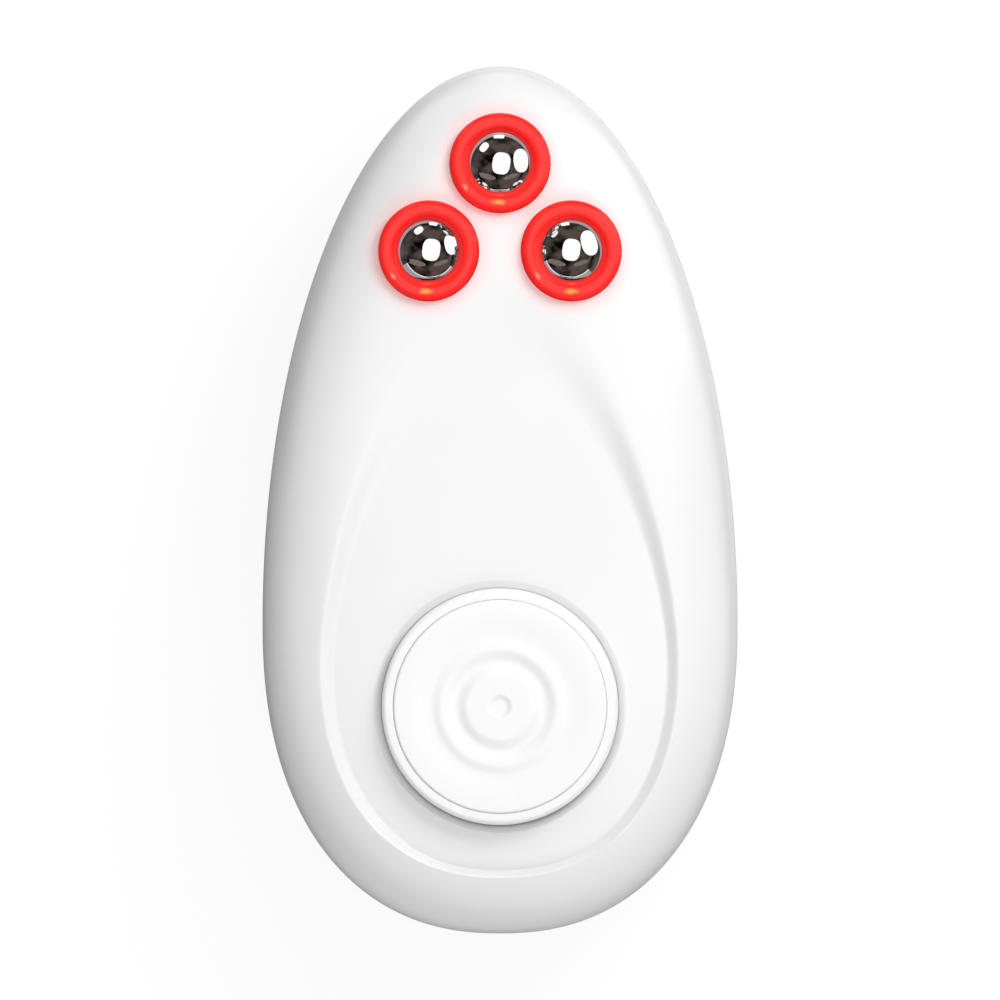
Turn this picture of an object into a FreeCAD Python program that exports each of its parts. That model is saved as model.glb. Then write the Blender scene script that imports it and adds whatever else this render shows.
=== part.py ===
import FreeCAD, Part
import math
import os
import Sketcher
from types import SimpleNamespace
from FreeCAD import Placement, Rotation, Vector

# Hand-held eye massager lying on its flat back: +Z is the front face, +Y points to the
# three balls, +X to the right. The origin is the middle of the flat rear face.

SIZES = {
    # egg-shaped body
    "body_length": 100.0,
    "body_width": 54.8,
    "tail_length": 35.9,            # tail end to the widest line
    "parting_height": 15.0,
    "front_rise": 13.5,             # parting plane to the crown
    "cavity_rise": 10.0,            # parting plane to the ceiling inside
    "wall": 2.0,
    "parting_groove": 0.3,
    "lip_height": 1.5,
    "lip_play": 0.12,
    "nose_power_share": 2.0,
    "tail_power_share": 2.28,
    "front_power_share": 4.5,
    "rear_power_share": 3.6,
    "cavity_power_share": 6.0,
    "base_share": 0.55,             # flat rear face as a share of the outline
    # recessed panel round the button
    "recess_width_share": 0.737,
    "recess_wide_share": -0.185,
    "recess_nose_share": 0.394,
    "recess_tail_share": 0.261,
    "recess_power_share": 1.8,
    "recess_side_slope": 2.1,
    "recess_nose_slope": 7.0,
    "recess_tail_slope": 2.0,
    "recess_depth": 0.9,
    # balls, light rings and cups, measured along the local surface normal
    "ball_diameter": 8.0,
    "ball_play": 0.1,
    "ball_nose_gap": 11.3,          # nose end to the top ball
    "ball_pitch": 10.1,             # top ball to the line of the other two
    "ball_side_x": 8.2,
    "ring_diameter": 11.6,
    "ring_crest": 1.1,
    "ring_crest_diameter": 9.8,
    "ring_mouth_diameter": 8.1,
    "ring_mouth_height": 0.85,
    "ring_lip_diameter": 6.9,
    "ring_lip_height": 0.4,
    "ring_seat_depth": 0.8,
    "ring_skirt_diameter": 9.8,
    "ring_skirt_depth": 5.6,
    "push_fit": 0.05,
    "cup_floor": 1.3,
    "cup_edge_drop": 2.2,           # ball centre to the upper edge of the cup
    "cup_stop_diameter": 9.0,
    # LED board under the rings
    "led_board_depth": 9.0,
    "led_board_thickness": 1.0,
    "led_board_nose_width": 14.0,
    "led_board_rear_width": 31.0,
    "led_board_length": 24.0,
    "led_board_nose_y": 12.0,
    "led_board_corner": 3.0,
    "led_length": 1.6,
    "led_width": 0.8,
    "led_height": 0.7,
    "led_circle": 10.6,
    "leds_per_ring": 3,
    "led_post_x": 7.0,
    "led_post_nose_y": 5.2,
    "led_post_rear_y": -7.6,
    "led_post_diameter": 3.4,
    # button
    "button_share": -0.237,
    "button_seat_drop": 3.3,        # crown to the seat under the shell
    "button_travel": 0.5,
    "bezel_diameter": 27.2,
    "bezel_rim": 1.3,
    "bezel_round": 0.5,
    "bezel_top": 4.2,               # above the seat
    "bezel_flange_reach": 1.6,
    "bezel_flange_thickness": 1.2,
    "bezel_roof_drop": 0.2,
    "bezel_play": 0.1,
    "moat_width": 0.6,              # open groove in the shell round the bezel
    "moat_depth": 0.9,
    "cap_gap": 0.1,
    "cap_top": 4.4,                 # above the seat
    "cap_thickness": 1.8,
    "cap_skirt": 1.5,
    "cap_edge_round": 0.9,
    "cap_lip_reach": 0.9,
    "cap_lip_thickness": 0.8,
    "cap_lip_play": 0.1,
    "cap_post_diameter": 4.2,
    # ripples on the cap as shares of its radius
    "dimple_share": 0.123,
    "dimple_depth": 0.26,
    "first_crest_share": 0.295,
    "first_trough_share": 0.418,
    "first_ripple_depth": 0.2,
    "second_crest_share": 0.549,
    "second_trough_share": 0.652,
    "second_ripple_depth": 0.14,
    "ripple_rim_share": 0.885,
    "hook_width": 4.0,
    "hook_thickness": 1.2,
    "hook_nose": 0.7,
    "hook_depth": 1.1,
    "hook_count": 3,
    # main board and switch
    "board_arc_drop": 2.5,
    "board_thickness": 1.6,
    "board_width_share": 0.785,
    "board_front_share": -0.06,
    "board_tail_gap": 1.4,
    "switch_width": 6.2,
    "switch_height": 3.3,
    "switch_corner": 0.7,
    "switch_plate": 0.3,
    "switch_stem_diameter": 3.4,
    "switch_stem_reach": 1.5,
    "switch_stem_root": 1.2,
    "switch_play": 0.06,
    "switch_leg_width": 0.8,
    "switch_leg_length": 1.2,
    "switch_leg_height": 0.4,
    "switch_leg_pitch": 4.5,
    "chip_length": 5.0,
    "chip_width": 4.0,
    "chip_height": 1.4,
    "chip_x": 9.0,
    "chip_share": -0.29,
    "coil_diameter": 5.0,
    "coil_height": 2.0,
    "coil_x": -9.5,
    "coil_share": -0.295,
    "small_part_length": 1.8,
    "small_part_width": 1.0,
    "small_part_height": 0.7,
    "small_part_pitch": 3.2,
    "small_part_share": -0.38,
    "small_part_count": 4,
    # charging socket at the tail
    "socket_width": 8.9,
    "socket_height": 3.2,
    "socket_length": 7.4,
    "socket_sheet": 0.3,
    "socket_setback": 0.7,
    "socket_play": 0.25,
    "socket_back": 1.2,
    "tongue_width": 6.7,
    "tongue_thickness": 0.7,
    "tongue_setback": 0.8,
    # battery
    "battery_length_share": 0.3,
    "battery_width": 20.0,
    "battery_thickness": 5.6,
    "battery_corner": 1.6,
    "battery_share": -0.15,
    "battery_cover_length": 3.0,
    "pad_thickness": 0.8,
    "pad_margin": 2.0,
    "fence_thickness": 1.2,
    "fence_height": 3.6,
    "fence_gap": 0.4,
    # vibration motor across the body
    "motor_diameter": 12.0,
    "motor_length": 18.0,
    "motor_round": 0.8,
    "motor_left": -13.0,
    "motor_share": 0.12,
    "motor_height": 9.4,
    "motor_cap_thickness": 1.6,
    "motor_cap_inset": 0.6,
    "motor_nose_diameter": 4.4,
    "motor_nose_length": 1.0,
    "motor_terminal_size": 1.0,
    "motor_terminal_length": 1.6,
    "motor_terminal_pitch": 5.0,
    "shaft_diameter": 1.5,
    "shaft_length": 12.0,
    "shaft_root": 4.0,
    "shaft_play": 0.03,
    "weight_diameter": 9.6,
    "weight_hub_diameter": 3.6,
    "weight_length": 5.0,
    "weight_flat": 0.4,
    "weight_gap": 1.0,
    "sleeve_wall": 0.7,
    "sleeve_length": 13.0,
    "sleeve_inset": 2.5,
    "saddle_thickness": 2.2,
    "saddle_width": 15.6,
    "saddle_spacing": 8.0,
    # screws, across and along as shares of the body
    "nose_screw_across_share": 0.3394,
    "nose_screw_along_share": 0.02,
    "tail_screw_across_share": 0.2409,
    "tail_screw_along_share": -0.376,
    "screw_diameter": 2.0,
    "screw_head_diameter": 3.8,
    "screw_head_height": 1.5,
    "screw_seat_height": 7.2,
    "screw_length": 12.0,
    "screw_play": 0.15,
    "front_boss_diameter": 5.0,
    "rear_boss_diameter": 6.4,
    "board_hole_play": 0.4,
    "plug_diameter": 4.6,
    "plug_depth": 1.8,
    "plug_sink": 0.25,
    "board_screw_across_share": 0.3212,
    "board_screw_along_share": -0.11,
    "board_screw_length": 5.0,
    "led_screw_diameter": 1.6,
    "led_screw_head_diameter": 2.8,
    "led_screw_head_height": 1.0,
    "led_screw_length": 4.0,
    # cuts run past the faces that they open by this much
    "overrun": 2.0,
}

doc = FreeCAD.newDocument("eye_massager")
sheet = doc.addObject("Spreadsheet::Sheet", "dims")
for row, (alias, number) in enumerate(SIZES.items(), start=1):
    sheet.set(f"A{row}", alias)
    sheet.set(f"B{row}", str(number))
    sheet.setAlias(f"B{row}", alias)
doc.recompute()


class Size:
    """A number of the sheet together with the formula that gives it."""

    def __init__(self, value, formula):
        self.value = value
        self.formula = formula

    def __add__(self, other):
        other = as_size(other)
        return Size(self.value + other.value, f"({self.formula} + {other.formula})")

    def __sub__(self, other):
        other = as_size(other)
        return Size(self.value - other.value, f"({self.formula} - {other.formula})")

    def __mul__(self, other):
        other = as_size(other)
        return Size(self.value * other.value, f"({self.formula} * {other.formula})")

    def __truediv__(self, other):
        other = as_size(other)
        return Size(self.value / other.value, f"({self.formula} / {other.formula})")

    def __neg__(self):
        return Size(-self.value, f"(0 - {self.formula})")

    def root(self):
        return Size(math.sqrt(self.value), f"sqrt({self.formula})")


def as_size(item):
    return item if isinstance(item, Size) else Size(float(item), str(item))


size = SimpleNamespace(**{alias: Size(float(sheet.get(alias)), f"dims.{alias}") for alias in SIZES})
raw = SimpleNamespace(**{alias: float(sheet.get(alias)) for alias in SIZES})
zero = as_size(0)
pieces = []


def bind(target, prop, amount):
    amount = as_size(amount)
    target.setExpression(prop, amount.formula)


def keep(target, label):
    target.Label = label
    pieces.append(target)
    return target


def move(target, x=zero, y=zero, z=zero, turn=None):
    x, y, z = as_size(x), as_size(y), as_size(z)
    target.Placement = Placement(Vector(x.value, y.value, z.value), turn or Rotation())
    for axis, amount in zip("xyz", (x, y, z)):
        bind(target, f"Placement.Base.{axis}", amount)
    return target


# Sketches, features and primitives

def new_body(label):
    body = doc.addObject("PartDesign::Body", label)
    return keep(body, label)


def new_sketch(body, name, role="XY_Plane", lift=None):
    sketch = body.newObject("Sketcher::SketchObject", name)
    plane = next(item for item in body.Origin.OriginFeatures if item.Role == role)
    sketch.AttachmentSupport = [(plane, "")]
    sketch.MapMode = "FlatFace"
    if lift is not None:
        sketch.AttachmentOffset = Placement(Vector(0, 0, lift.value), Rotation())
        bind(sketch, "AttachmentOffset.Base.z", lift)
    return sketch


def fix_point(sketch, edge, end, x, y, tag):
    for kind, axis, amount in (("DistanceX", -2, x), ("DistanceY", -1, y)):
        if amount.formula == zero.formula:
            sketch.addConstraint(Sketcher.Constraint("PointOnObject", edge, end, axis))
            continue
        index = sketch.addConstraint(Sketcher.Constraint(kind, -1, 1, edge, end, amount.value))
        name = f"{kind}{tag}"
        sketch.renameConstraint(index, name)
        bind(sketch, f"Constraints.{name}", amount)


def fix_radius(sketch, edge, radius, tag):
    index = sketch.addConstraint(Sketcher.Constraint("Radius", edge, radius.value))
    name = f"Radius{tag}"
    sketch.renameConstraint(index, name)
    bind(sketch, f"Constraints.{name}", radius)


def arc_between(start, end, radius, turn):
    chord = end - start
    half = chord.Length / 2
    rise = math.sqrt(max(radius * radius - half * half, 0))
    side = Vector(-chord.y, chord.x, 0).normalize() * rise * turn
    centre = start + chord / 2 + side
    first, last = (start, end) if turn > 0 else (end, start)
    angles = [math.atan2(point.y - centre.y, point.x - centre.x) for point in (first, last)]
    if angles[1] < angles[0]:
        angles[1] += 2 * math.pi
    return Part.ArcOfCircle(Part.Circle(centre, Vector(0, 0, 1), radius), *angles)


def draw_loop(sketch, corners, tag="a"):
    """Closed loop. A corner is (x, y), or (x, y, radius, turn) where a round edge leaves it,
    turn +1 with its middle on the left of the way round, -1 on the right."""
    corners = [tuple(as_size(item) for item in corner[:3]) + tuple(corner[3:]) for corner in corners]
    points = [Vector(corner[0].value, corner[1].value, 0) for corner in corners]
    ends = []
    for number, corner in enumerate(corners):
        start, end = points[number], points[(number + 1) % len(points)]
        if len(corner) == 2:
            ends.append((sketch.addGeometry(Part.LineSegment(start, end), False), 1, 2))
            continue
        edge = sketch.addGeometry(arc_between(start, end, corner[2].value, corner[3]), False)
        ends.append((edge, 1, 2) if corner[3] > 0 else (edge, 2, 1))
    for number, (edge, first, last) in enumerate(ends):
        following = ends[(number + 1) % len(ends)]
        sketch.addConstraint(Sketcher.Constraint("Coincident", edge, last, following[0], following[1]))
    for number, (edge, first, last) in enumerate(ends):
        corner = corners[number]
        fix_point(sketch, edge, first, corner[0], corner[1], f"{tag}{number}")
        if len(corner) > 2:
            fix_radius(sketch, edge, corner[2], f"{tag}{number}")
    return sketch


def draw_circle(sketch, x, y, radius, tag):
    x, y, radius = as_size(x), as_size(y), as_size(radius)
    circle = Part.Circle(Vector(x.value, y.value, 0), Vector(0, 0, 1), radius.value)
    edge = sketch.addGeometry(circle, False)
    fix_point(sketch, edge, 3, x, y, tag)
    fix_radius(sketch, edge, radius, tag)
    return sketch


def rectangle(left, bottom, right, top):
    return [(left, bottom), (right, bottom), (right, top), (left, top)]


def revolve(body, corners):
    sketch = draw_loop(new_sketch(body, "profile", "XZ_Plane"), corners)
    feature = body.newObject("PartDesign::Revolution", "turned")
    feature.Profile = sketch
    feature.ReferenceAxis = (sketch, ["V_Axis"])
    feature.Angle = 360
    return feature


def pad(body, sketch, length, backwards=False):
    feature = body.newObject("PartDesign::Pad", "pad")
    feature.Profile = sketch
    feature.Length = length.value
    bind(feature, "Length", length)
    feature.Reversed = backwards
    return feature


def pocket(body, sketch, length, backwards=False):
    feature = body.newObject("PartDesign::Pocket", "pocket")
    feature.Profile = sketch
    feature.Length = length.value
    bind(feature, "Length", length)
    feature.Reversed = backwards
    return feature


def soften(body, base, radius, chooses):
    """Rounds the edges of the feature that chooses() picks."""
    doc.recompute()
    feature = body.newObject("PartDesign::Fillet", "rounds")
    names = [f"Edge{number}" for number, edge in enumerate(base.Shape.Edges, start=1) if chooses(edge)]
    feature.Base = (base, names)
    feature.Radius = radius.value
    bind(feature, "Radius", radius)
    return feature


def along(edge, direction):
    span = edge.Vertexes[-1].Point - edge.Vertexes[0].Point
    return span.Length > 0 and abs(span.normalize().dot(direction)) > 1 - 1e-6


def box(length, width, height, x, y, z, turn=None):
    """Box whose place is the middle of its underside."""
    solid = doc.addObject("Part::Box", "block")
    bind(solid, "Length", length)
    bind(solid, "Width", width)
    bind(solid, "Height", height)
    return move(solid, as_size(x) - as_size(length) / 2, as_size(y) - as_size(width) / 2, z, turn)


def cylinder(radius, height, x, y, z, turn=None):
    solid = doc.addObject("Part::Cylinder", "rod")
    bind(solid, "Radius", radius)
    bind(solid, "Height", height)
    return move(solid, x, y, z, turn)


def fuse(shapes):
    joined = doc.addObject("Part::MultiFuse", "joined")
    joined.Shapes = shapes
    return joined


def cut(base, tool):
    result = doc.addObject("Part::Cut", "cut")
    result.Base = base
    result.Tool = tool
    return result


def group(shapes, label):
    gathered = doc.addObject("Part::Compound", label)
    gathered.Links = shapes
    return keep(gathered, label)


def place_in(frame, target, x=0, y=0, z=0):
    target.Placement = frame.multiply(Placement(Vector(x, y, z), Rotation()))
    return target


# Egg-shaped forms: every contour has the same number of points, counted from the tail

contour_points = 48
contour_start = 5                   # clear of the holes and bosses
wide_y = raw.tail_length - raw.body_length / 2
nose_length = raw.body_length - raw.tail_length
crown_height = raw.parting_height + raw.front_rise
button_y = size.body_length * size.button_share


def turn_angle(number):
    return 2 * math.pi * (number + contour_start) / contour_points


def egg(half_width, nose, tail, middle_y, nose_power, tail_power):
    outline = []
    for number in range(contour_points):
        across, ahead = math.cos(turn_angle(number)), math.sin(turn_angle(number))
        power, reach = (nose_power, nose) if ahead >= 0 else (tail_power, tail)
        x = half_width * math.copysign(abs(across) ** (2 / power), across)
        y = reach * math.copysign(abs(ahead) ** (2 / power), ahead)
        outline.append((x, middle_y + y))
    return outline


def body_egg(inset=0.0, scale=1.0):
    return egg((raw.body_width / 2 - inset) * scale, (nose_length - inset) * scale,
               (raw.tail_length - inset) * scale, wide_y, raw.nose_power_share, raw.tail_power_share)


def egg_share(x, y, inset=0.0):
    """How far out a point lies: 0 at the widest line's middle, 1 on the outline."""
    nose = y >= wide_y
    power = raw.nose_power_share if nose else raw.tail_power_share
    reach = (nose_length if nose else raw.tail_length) - inset
    across = abs(x) / (raw.body_width / 2 - inset)
    ahead = abs(y - wide_y) / reach
    return (across ** power + ahead ** power) ** (1 / power)


def bulge(share, power):
    return max(1 - share ** power, 0) ** (1 / power)


def front_height(x, y):
    return raw.parting_height + raw.front_rise * bulge(egg_share(x, y), raw.front_power_share)


def between(first, second, share):
    return [(a[0] + (b[0] - a[0]) * share, a[1] + (b[1] - a[1]) * share) for a, b in zip(first, second)]


def at_height(outline, height):
    return [Vector(x, y, height) for x, y in outline]


def control_row(points):
    curve = Part.BSplineCurve()
    steps = [number / contour_points for number in range(contour_points + 1)]
    curve.interpolate(Points=points, PeriodicFlag=True, Parameters=steps)
    return curve


def skin_solid(rows):
    """Solid under a smooth skin that is drawn from the first row of points to the last; both are flat."""
    curves = [control_row(row) for row in rows]
    model = curves[0]
    degree = 3
    spans = len(rows) - degree
    knots = [number / spans for number in range(spans + 1)]
    mults = [degree + 1] + [1] * (spans - 1) + [degree + 1]
    poles = [list(column) for column in zip(*[curve.getPoles() for curve in curves])]
    surface = Part.BSplineSurface()
    surface.buildFromPolesMultsKnots(poles, model.getMultiplicities(), mults, model.getKnots(), knots,
                                     True, False, model.Degree, degree)
    side = surface.toShape()
    rims = [edge for edge in side.Edges if edge.isClosed()]
    caps = [Part.Face(Part.Wire([edge])) for edge in rims]
    shell = Part.Shell([side] + caps)
    shell.sewShape()
    solid = Part.Solid(shell)
    solid.fix(0, 0, 0)
    if solid.Volume < 0:
        solid.reverse()
    return solid


def feature(label, shape):
    item = doc.addObject("Part::Feature", label)
    item.Shape = shape
    return item


# Contours as shares of the outline, close together where the edge turns over
edge_shares = (1, 0.9998, 0.998, 0.99, 0.97, 0.94, 0.905)
cavity_top_shares = (0.84, 0.75, 0.62, 0.45, 0.3)
rear_base_shares = (0.84, 0.75, 0.65)
shoulder_shares = (0.35, 0.7, 0.92)
step_shares = ((0, 0), (0.3, 0.06), (0.5, 0.5), (0.7, 0.94), (1, 1))
floor_shares = (0.12, 0.4, 0.75)
well_share = 0.88
well_core_share = 0.6


def on_front(outline, drop=0.0):
    return [Vector(x, y, front_height(x, y) - drop) for x, y in outline]


def front_form():
    rows = []
    for share in edge_shares:
        outline = body_egg(scale=share)
        rise = raw.front_rise * bulge(share, raw.front_power_share)
        rows.append(at_height(outline, raw.parting_height + rise))
    half_width = raw.body_width * raw.recess_width_share / 2
    nose = raw.body_length * raw.recess_nose_share
    tail = raw.body_length * raw.recess_tail_share
    recess_y = raw.body_length * raw.recess_wide_share
    power = raw.nose_power_share
    rim = egg(half_width, nose, tail, recess_y, raw.recess_power_share, power)
    foot = egg(half_width - raw.recess_side_slope, nose - raw.recess_nose_slope, tail - raw.recess_tail_slope,
               recess_y, raw.recess_power_share, power)
    for share in shoulder_shares:
        rows.append(on_front(between(outline, rim, share)))
    for share, sink_share in step_shares:
        rows.append(on_front(between(rim, foot, share), raw.recess_depth * sink_share))
    well_radius = raw.bezel_diameter / 2 * well_share
    well = egg(well_radius, well_radius, well_radius, button_y.value, power, power)
    for share in floor_shares:
        rows.append(on_front(between(foot, well, share), raw.recess_depth))
    rows.append(on_front(well, raw.recess_depth))
    core_radius = raw.bezel_diameter / 2 * well_core_share
    core = egg(core_radius, core_radius, core_radius, button_y.value, power, power)
    rows.append(at_height(core, crown_height - raw.recess_depth))
    return feature("front_form", skin_solid(rows))


def front_cavity():
    rise = raw.cavity_rise
    rows = [at_height(body_egg(raw.wall), raw.parting_height - raw.overrun)]
    for share in edge_shares + cavity_top_shares:
        height = raw.parting_height + rise * bulge(share, raw.cavity_power_share)
        rows.append(at_height(body_egg(raw.wall, share), height))
    return feature("front_cavity", skin_solid(rows))


rear_rise_share = 1 / bulge(raw.base_share, raw.rear_power_share)


def rear_height(x, y):
    """Height of the rear skin over the flat base."""
    level = bulge(max(egg_share(x, y), raw.base_share), raw.rear_power_share)
    return raw.parting_height * (1 - level * rear_rise_share)


def plug_bottom(x, y):
    """Plugs lie just inside the skin, measured at their outer edge where the skin is highest."""
    outward = Vector(x, y - wide_y, 0).normalize() * (raw.plug_diameter / 2)
    return rear_height(x + outward.x, y + outward.y) + raw.plug_sink


def rear_rows(inset, floor):
    depth = (raw.parting_height - floor) * rear_rise_share
    rows = []
    for share in edge_shares + rear_base_shares + (raw.base_share,):
        height = raw.parting_height - depth * bulge(share, raw.rear_power_share)
        rows.append(at_height(body_egg(inset, share), height))
    return rows


def rear_form():
    return feature("rear_form", skin_solid(rear_rows(0.0, 0.0)))


def rear_cavity():
    mouth = at_height(body_egg(raw.wall), raw.parting_height + raw.lip_height + raw.overrun)
    return feature("rear_cavity", skin_solid([mouth] + rear_rows(raw.wall, raw.wall)))


def egg_prism(label, inset, bottom, top):
    outline = Part.Face(Part.Wire([control_row(at_height(body_egg(inset), bottom)).toShape()]))
    return feature(label, outline.extrude(Vector(0, 0, top - bottom)))


# Places that several pieces share

crown = size.parting_height + size.front_rise
seat_height = crown - size.button_seat_drop
board_bottom = size.parting_height - size.board_thickness
board_tail = size.wall + size.board_tail_gap - size.body_length / 2
ball_room = size.ball_diameter / 2 + size.ball_play
lip_radius = size.ring_lip_diameter / 2
ball_centre = size.ring_lip_height - (ball_room * ball_room - lip_radius * lip_radius).root()
stem_top = size.parting_height + size.switch_height + size.switch_stem_reach
socket_middle = board_bottom - size.socket_height / 2
socket_mouth = size.socket_setback - size.body_length / 2
flange_radius = size.bezel_diameter / 2 + size.bezel_flange_reach
cap_radius = size.bezel_diameter / 2 - size.bezel_rim - size.cap_gap
lip_top = -size.bezel_roof_drop - size.cap_lip_play
sleeve_radius = size.motor_diameter / 2 + size.push_fit + size.sleeve_wall
sleeve_middle = size.motor_left + size.sleeve_inset + size.sleeve_length / 2
motor_turn = Rotation(Vector(0, 1, 0), 90)
motor_y = size.body_length * size.motor_share
battery_y = size.body_length * size.battery_share
battery_length = size.body_length * size.battery_length_share


def pair(across_share, along_share):
    """Two places that mirror each other, given as shares of the body's width and length."""
    return [(size.body_width * across_share * side, size.body_length * along_share) for side in (-1, 1)]


nose_screws = pair(size.nose_screw_across_share, size.nose_screw_along_share)
tail_screws = pair(size.tail_screw_across_share, size.tail_screw_along_share)
board_screws = pair(size.board_screw_across_share, size.board_screw_along_share)


def surface_frame(x, y):
    """Frame on the front skin with its Z along the outward normal."""
    step = raw.ball_play
    slope_x = (front_height(x + step, y) - front_height(x - step, y)) / (2 * step)
    slope_y = (front_height(x, y + step) - front_height(x, y - step)) / (2 * step)
    normal = Vector(-slope_x, -slope_y, 1).normalize()
    return Placement(Vector(x, y, front_height(x, y)), Rotation(Vector(0, 0, 1), normal))


ball_top_y = raw.body_length / 2 - raw.ball_nose_gap
ball_side_y = ball_top_y - raw.ball_pitch
sites = {
    "top": surface_frame(0.0, ball_top_y),
    "left": surface_frame(-raw.ball_side_x, ball_side_y),
    "right": surface_frame(raw.ball_side_x, ball_side_y),
}


def head_plane():
    """Frame through the three ball sites; the LED board lies parallel to it."""
    top, side = sites["top"].Base, sites["right"].Base
    tilt = math.degrees(math.atan2(top.z - side.z, top.y - side.y))
    middle = (top + side + sites["left"].Base) / 3
    return Placement(Vector(0, middle.y, middle.z), Rotation(Vector(1, 0, 0), tilt))


head = head_plane()
led_posts = [(raw.led_post_x, raw.led_post_nose_y), (-raw.led_post_x, raw.led_post_nose_y),
             (0.0, raw.led_post_rear_y)]


def sited(frame, solid, x=0.0, y=0.0, z=0.0):
    for axis in "xyz":
        solid.setExpression(f"Placement.Base.{axis}", None)
    return place_in(frame, solid, x, y, z)


# Front shell

def front_bosses():
    """What stays solid inside the front shell: screw bosses, bezel hooks and LED posts."""
    tall = size.front_rise
    solids = [cylinder(size.front_boss_diameter / 2, tall, x, y, size.parting_height)
              for x, y in nose_screws + tail_screws + board_screws]
    hook_bottom = seat_height - size.bezel_flange_thickness - size.hook_depth
    nose_height = size.hook_depth - size.bezel_play
    for number in range(int(raw.hook_count)):
        heading = Rotation(Vector(0, 0, 1), 360 * number / raw.hook_count + 90)
        turn = Placement(Vector(0, button_y.value, 0), heading)
        arm = box(size.hook_thickness, size.hook_width, crown - hook_bottom, zero, zero, zero)
        reach = flange_radius.value + raw.bezel_play * 2
        width = raw.hook_width
        sited(turn, arm, reach, -width / 2, hook_bottom.value)
        nose = box(size.hook_nose + size.hook_thickness, size.hook_width, nose_height, zero, zero, zero)
        sited(turn, nose, reach - raw.hook_nose, -width / 2, hook_bottom.value)
        solids += [arm, nose]
    for x, y in led_posts:
        post = cylinder(size.led_post_diameter / 2, size.led_board_depth, zero, zero, zero)
        solids.append(sited(head, post, x, y, -raw.led_board_depth))
    return fuse(solids)


def front_openings():
    """Ball holes with their counterbores, button hole with its moat and seat, and screw holes."""
    solids = []
    skirt = size.ring_skirt_diameter / 2 + size.push_fit
    collar = size.ring_diameter / 2 + size.push_fit
    for frame in sites.values():
        hole = cylinder(skirt, size.ring_skirt_depth * 2, zero, zero, zero)
        bed = cylinder(collar, size.ring_seat_depth + size.overrun, zero, zero, zero)
        solids.append(sited(frame, hole, z=-raw.ring_skirt_depth))
        solids.append(sited(frame, bed, z=-raw.ring_seat_depth))
    bezel_radius = size.bezel_diameter / 2
    solids.append(cylinder(bezel_radius + size.bezel_play, size.button_seat_drop + size.overrun * 2,
                           zero, button_y, seat_height - size.overrun))
    moat_floor = crown - size.recess_depth - size.moat_depth
    solids.append(cylinder(bezel_radius + size.moat_width, crown - moat_floor + size.overrun,
                           zero, button_y, moat_floor))
    solids.append(cylinder(flange_radius + size.bezel_play, size.bezel_flange_thickness,
                           zero, button_y, seat_height - size.bezel_flange_thickness))
    screw_radius = size.screw_diameter / 2 + size.push_fit
    case_tip = size.screw_seat_height + size.screw_length + size.screw_play
    for x, y in nose_screws + tail_screws:
        solids.append(cylinder(screw_radius, case_tip - size.parting_height + size.overrun, x, y,
                               size.parting_height - size.overrun))
    for x, y in board_screws:
        solids.append(cylinder(screw_radius, size.board_screw_length + size.screw_play, x, y, board_bottom))
    for x, y in led_posts:
        pilot = cylinder(size.led_screw_diameter / 2 + size.push_fit,
                         size.led_screw_length + size.screw_play, zero, zero, zero)
        solids.append(sited(head, pilot, x, y, -raw.led_board_depth - raw.led_board_thickness))
    return fuse(solids)


def front_shell():
    rebate = cut(egg_prism("rebate_outside", raw.wall / 2, raw.parting_height - raw.overrun,
                           raw.parting_height + raw.lip_height + raw.lip_play),
                 egg_prism("rebate_inside", raw.wall + raw.lip_play, raw.parting_height - raw.overrun * 2,
                           raw.parting_height + raw.lip_height + raw.overrun))
    room = cut(front_cavity(), front_bosses())
    hollow = cut(cut(front_form(), room), rebate)
    return keep(cut(hollow, front_openings()), "front_shell")


# Rear shell

def rear_bosses():
    """What stays solid inside the rear shell: screw bosses, motor saddles and the battery fence."""
    radius = size.rear_boss_diameter / 2
    solids = [cylinder(radius, size.parting_height, x, y, zero) for x, y in nose_screws]
    solids += [cylinder(radius, board_bottom, x, y, zero) for x, y in tail_screws]
    cradle = fuse([box(size.saddle_thickness, size.saddle_width, size.motor_height,
                       sleeve_middle + size.saddle_spacing * side / 2, motor_y, zero) for side in (-1, 1)])
    bed = cylinder(sleeve_radius + size.push_fit, size.body_width, -size.body_width / 2, motor_y,
                   size.motor_height, motor_turn)
    solids.append(cut(cradle, bed))
    fence_top = size.wall + size.pad_thickness + size.fence_height
    side_x = size.battery_width / 2 + size.fence_gap + size.fence_thickness / 2
    end_y = battery_length / 2 + size.fence_gap + size.fence_thickness / 2
    for side in (-1, 1):
        solids.append(box(size.fence_thickness, battery_length / 2, fence_top, side_x * side,
                          battery_y, zero))
        solids.append(box(size.battery_width / 2, size.fence_thickness, fence_top, zero,
                          battery_y + end_y * side, zero))
    return fuse(solids)


def rear_openings():
    """Screw wells with their plug beds, and the window of the charging socket."""
    solids = []
    for x, y in nose_screws + tail_screws:
        plug_end = plug_bottom(x.value, y.value) + raw.plug_depth
        bed = cylinder(size.plug_diameter / 2 + size.push_fit, size.overrun, x, y, zero)
        bed.setExpression("Height", None)
        bed.Height = plug_end + raw.overrun
        solids.append(sited(Placement(), bed, x.value, y.value, -raw.overrun))
        solids.append(cylinder(size.screw_head_diameter / 2 + size.screw_play,
                               size.screw_seat_height + size.overrun, x, y, -size.overrun))
        solids.append(cylinder(size.screw_diameter / 2 + size.screw_play, size.parting_height, x, y,
                               size.screw_seat_height - size.screw_play))
    window = doc.addObject("PartDesign::Body", "socket_window")
    half_width = size.socket_width / 2 + size.socket_play
    half_height = size.socket_height / 2 + size.socket_play
    pad(window, draw_loop(new_sketch(window, "outline", "XZ_Plane"),
                          rounded(half_width, half_height, half_height - size.socket_play)),
        size.wall + size.overrun * 2, backwards=True)
    move(window, zero, -size.body_length / 2 - size.overrun, socket_middle)
    return fuse(solids + [window])


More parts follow.
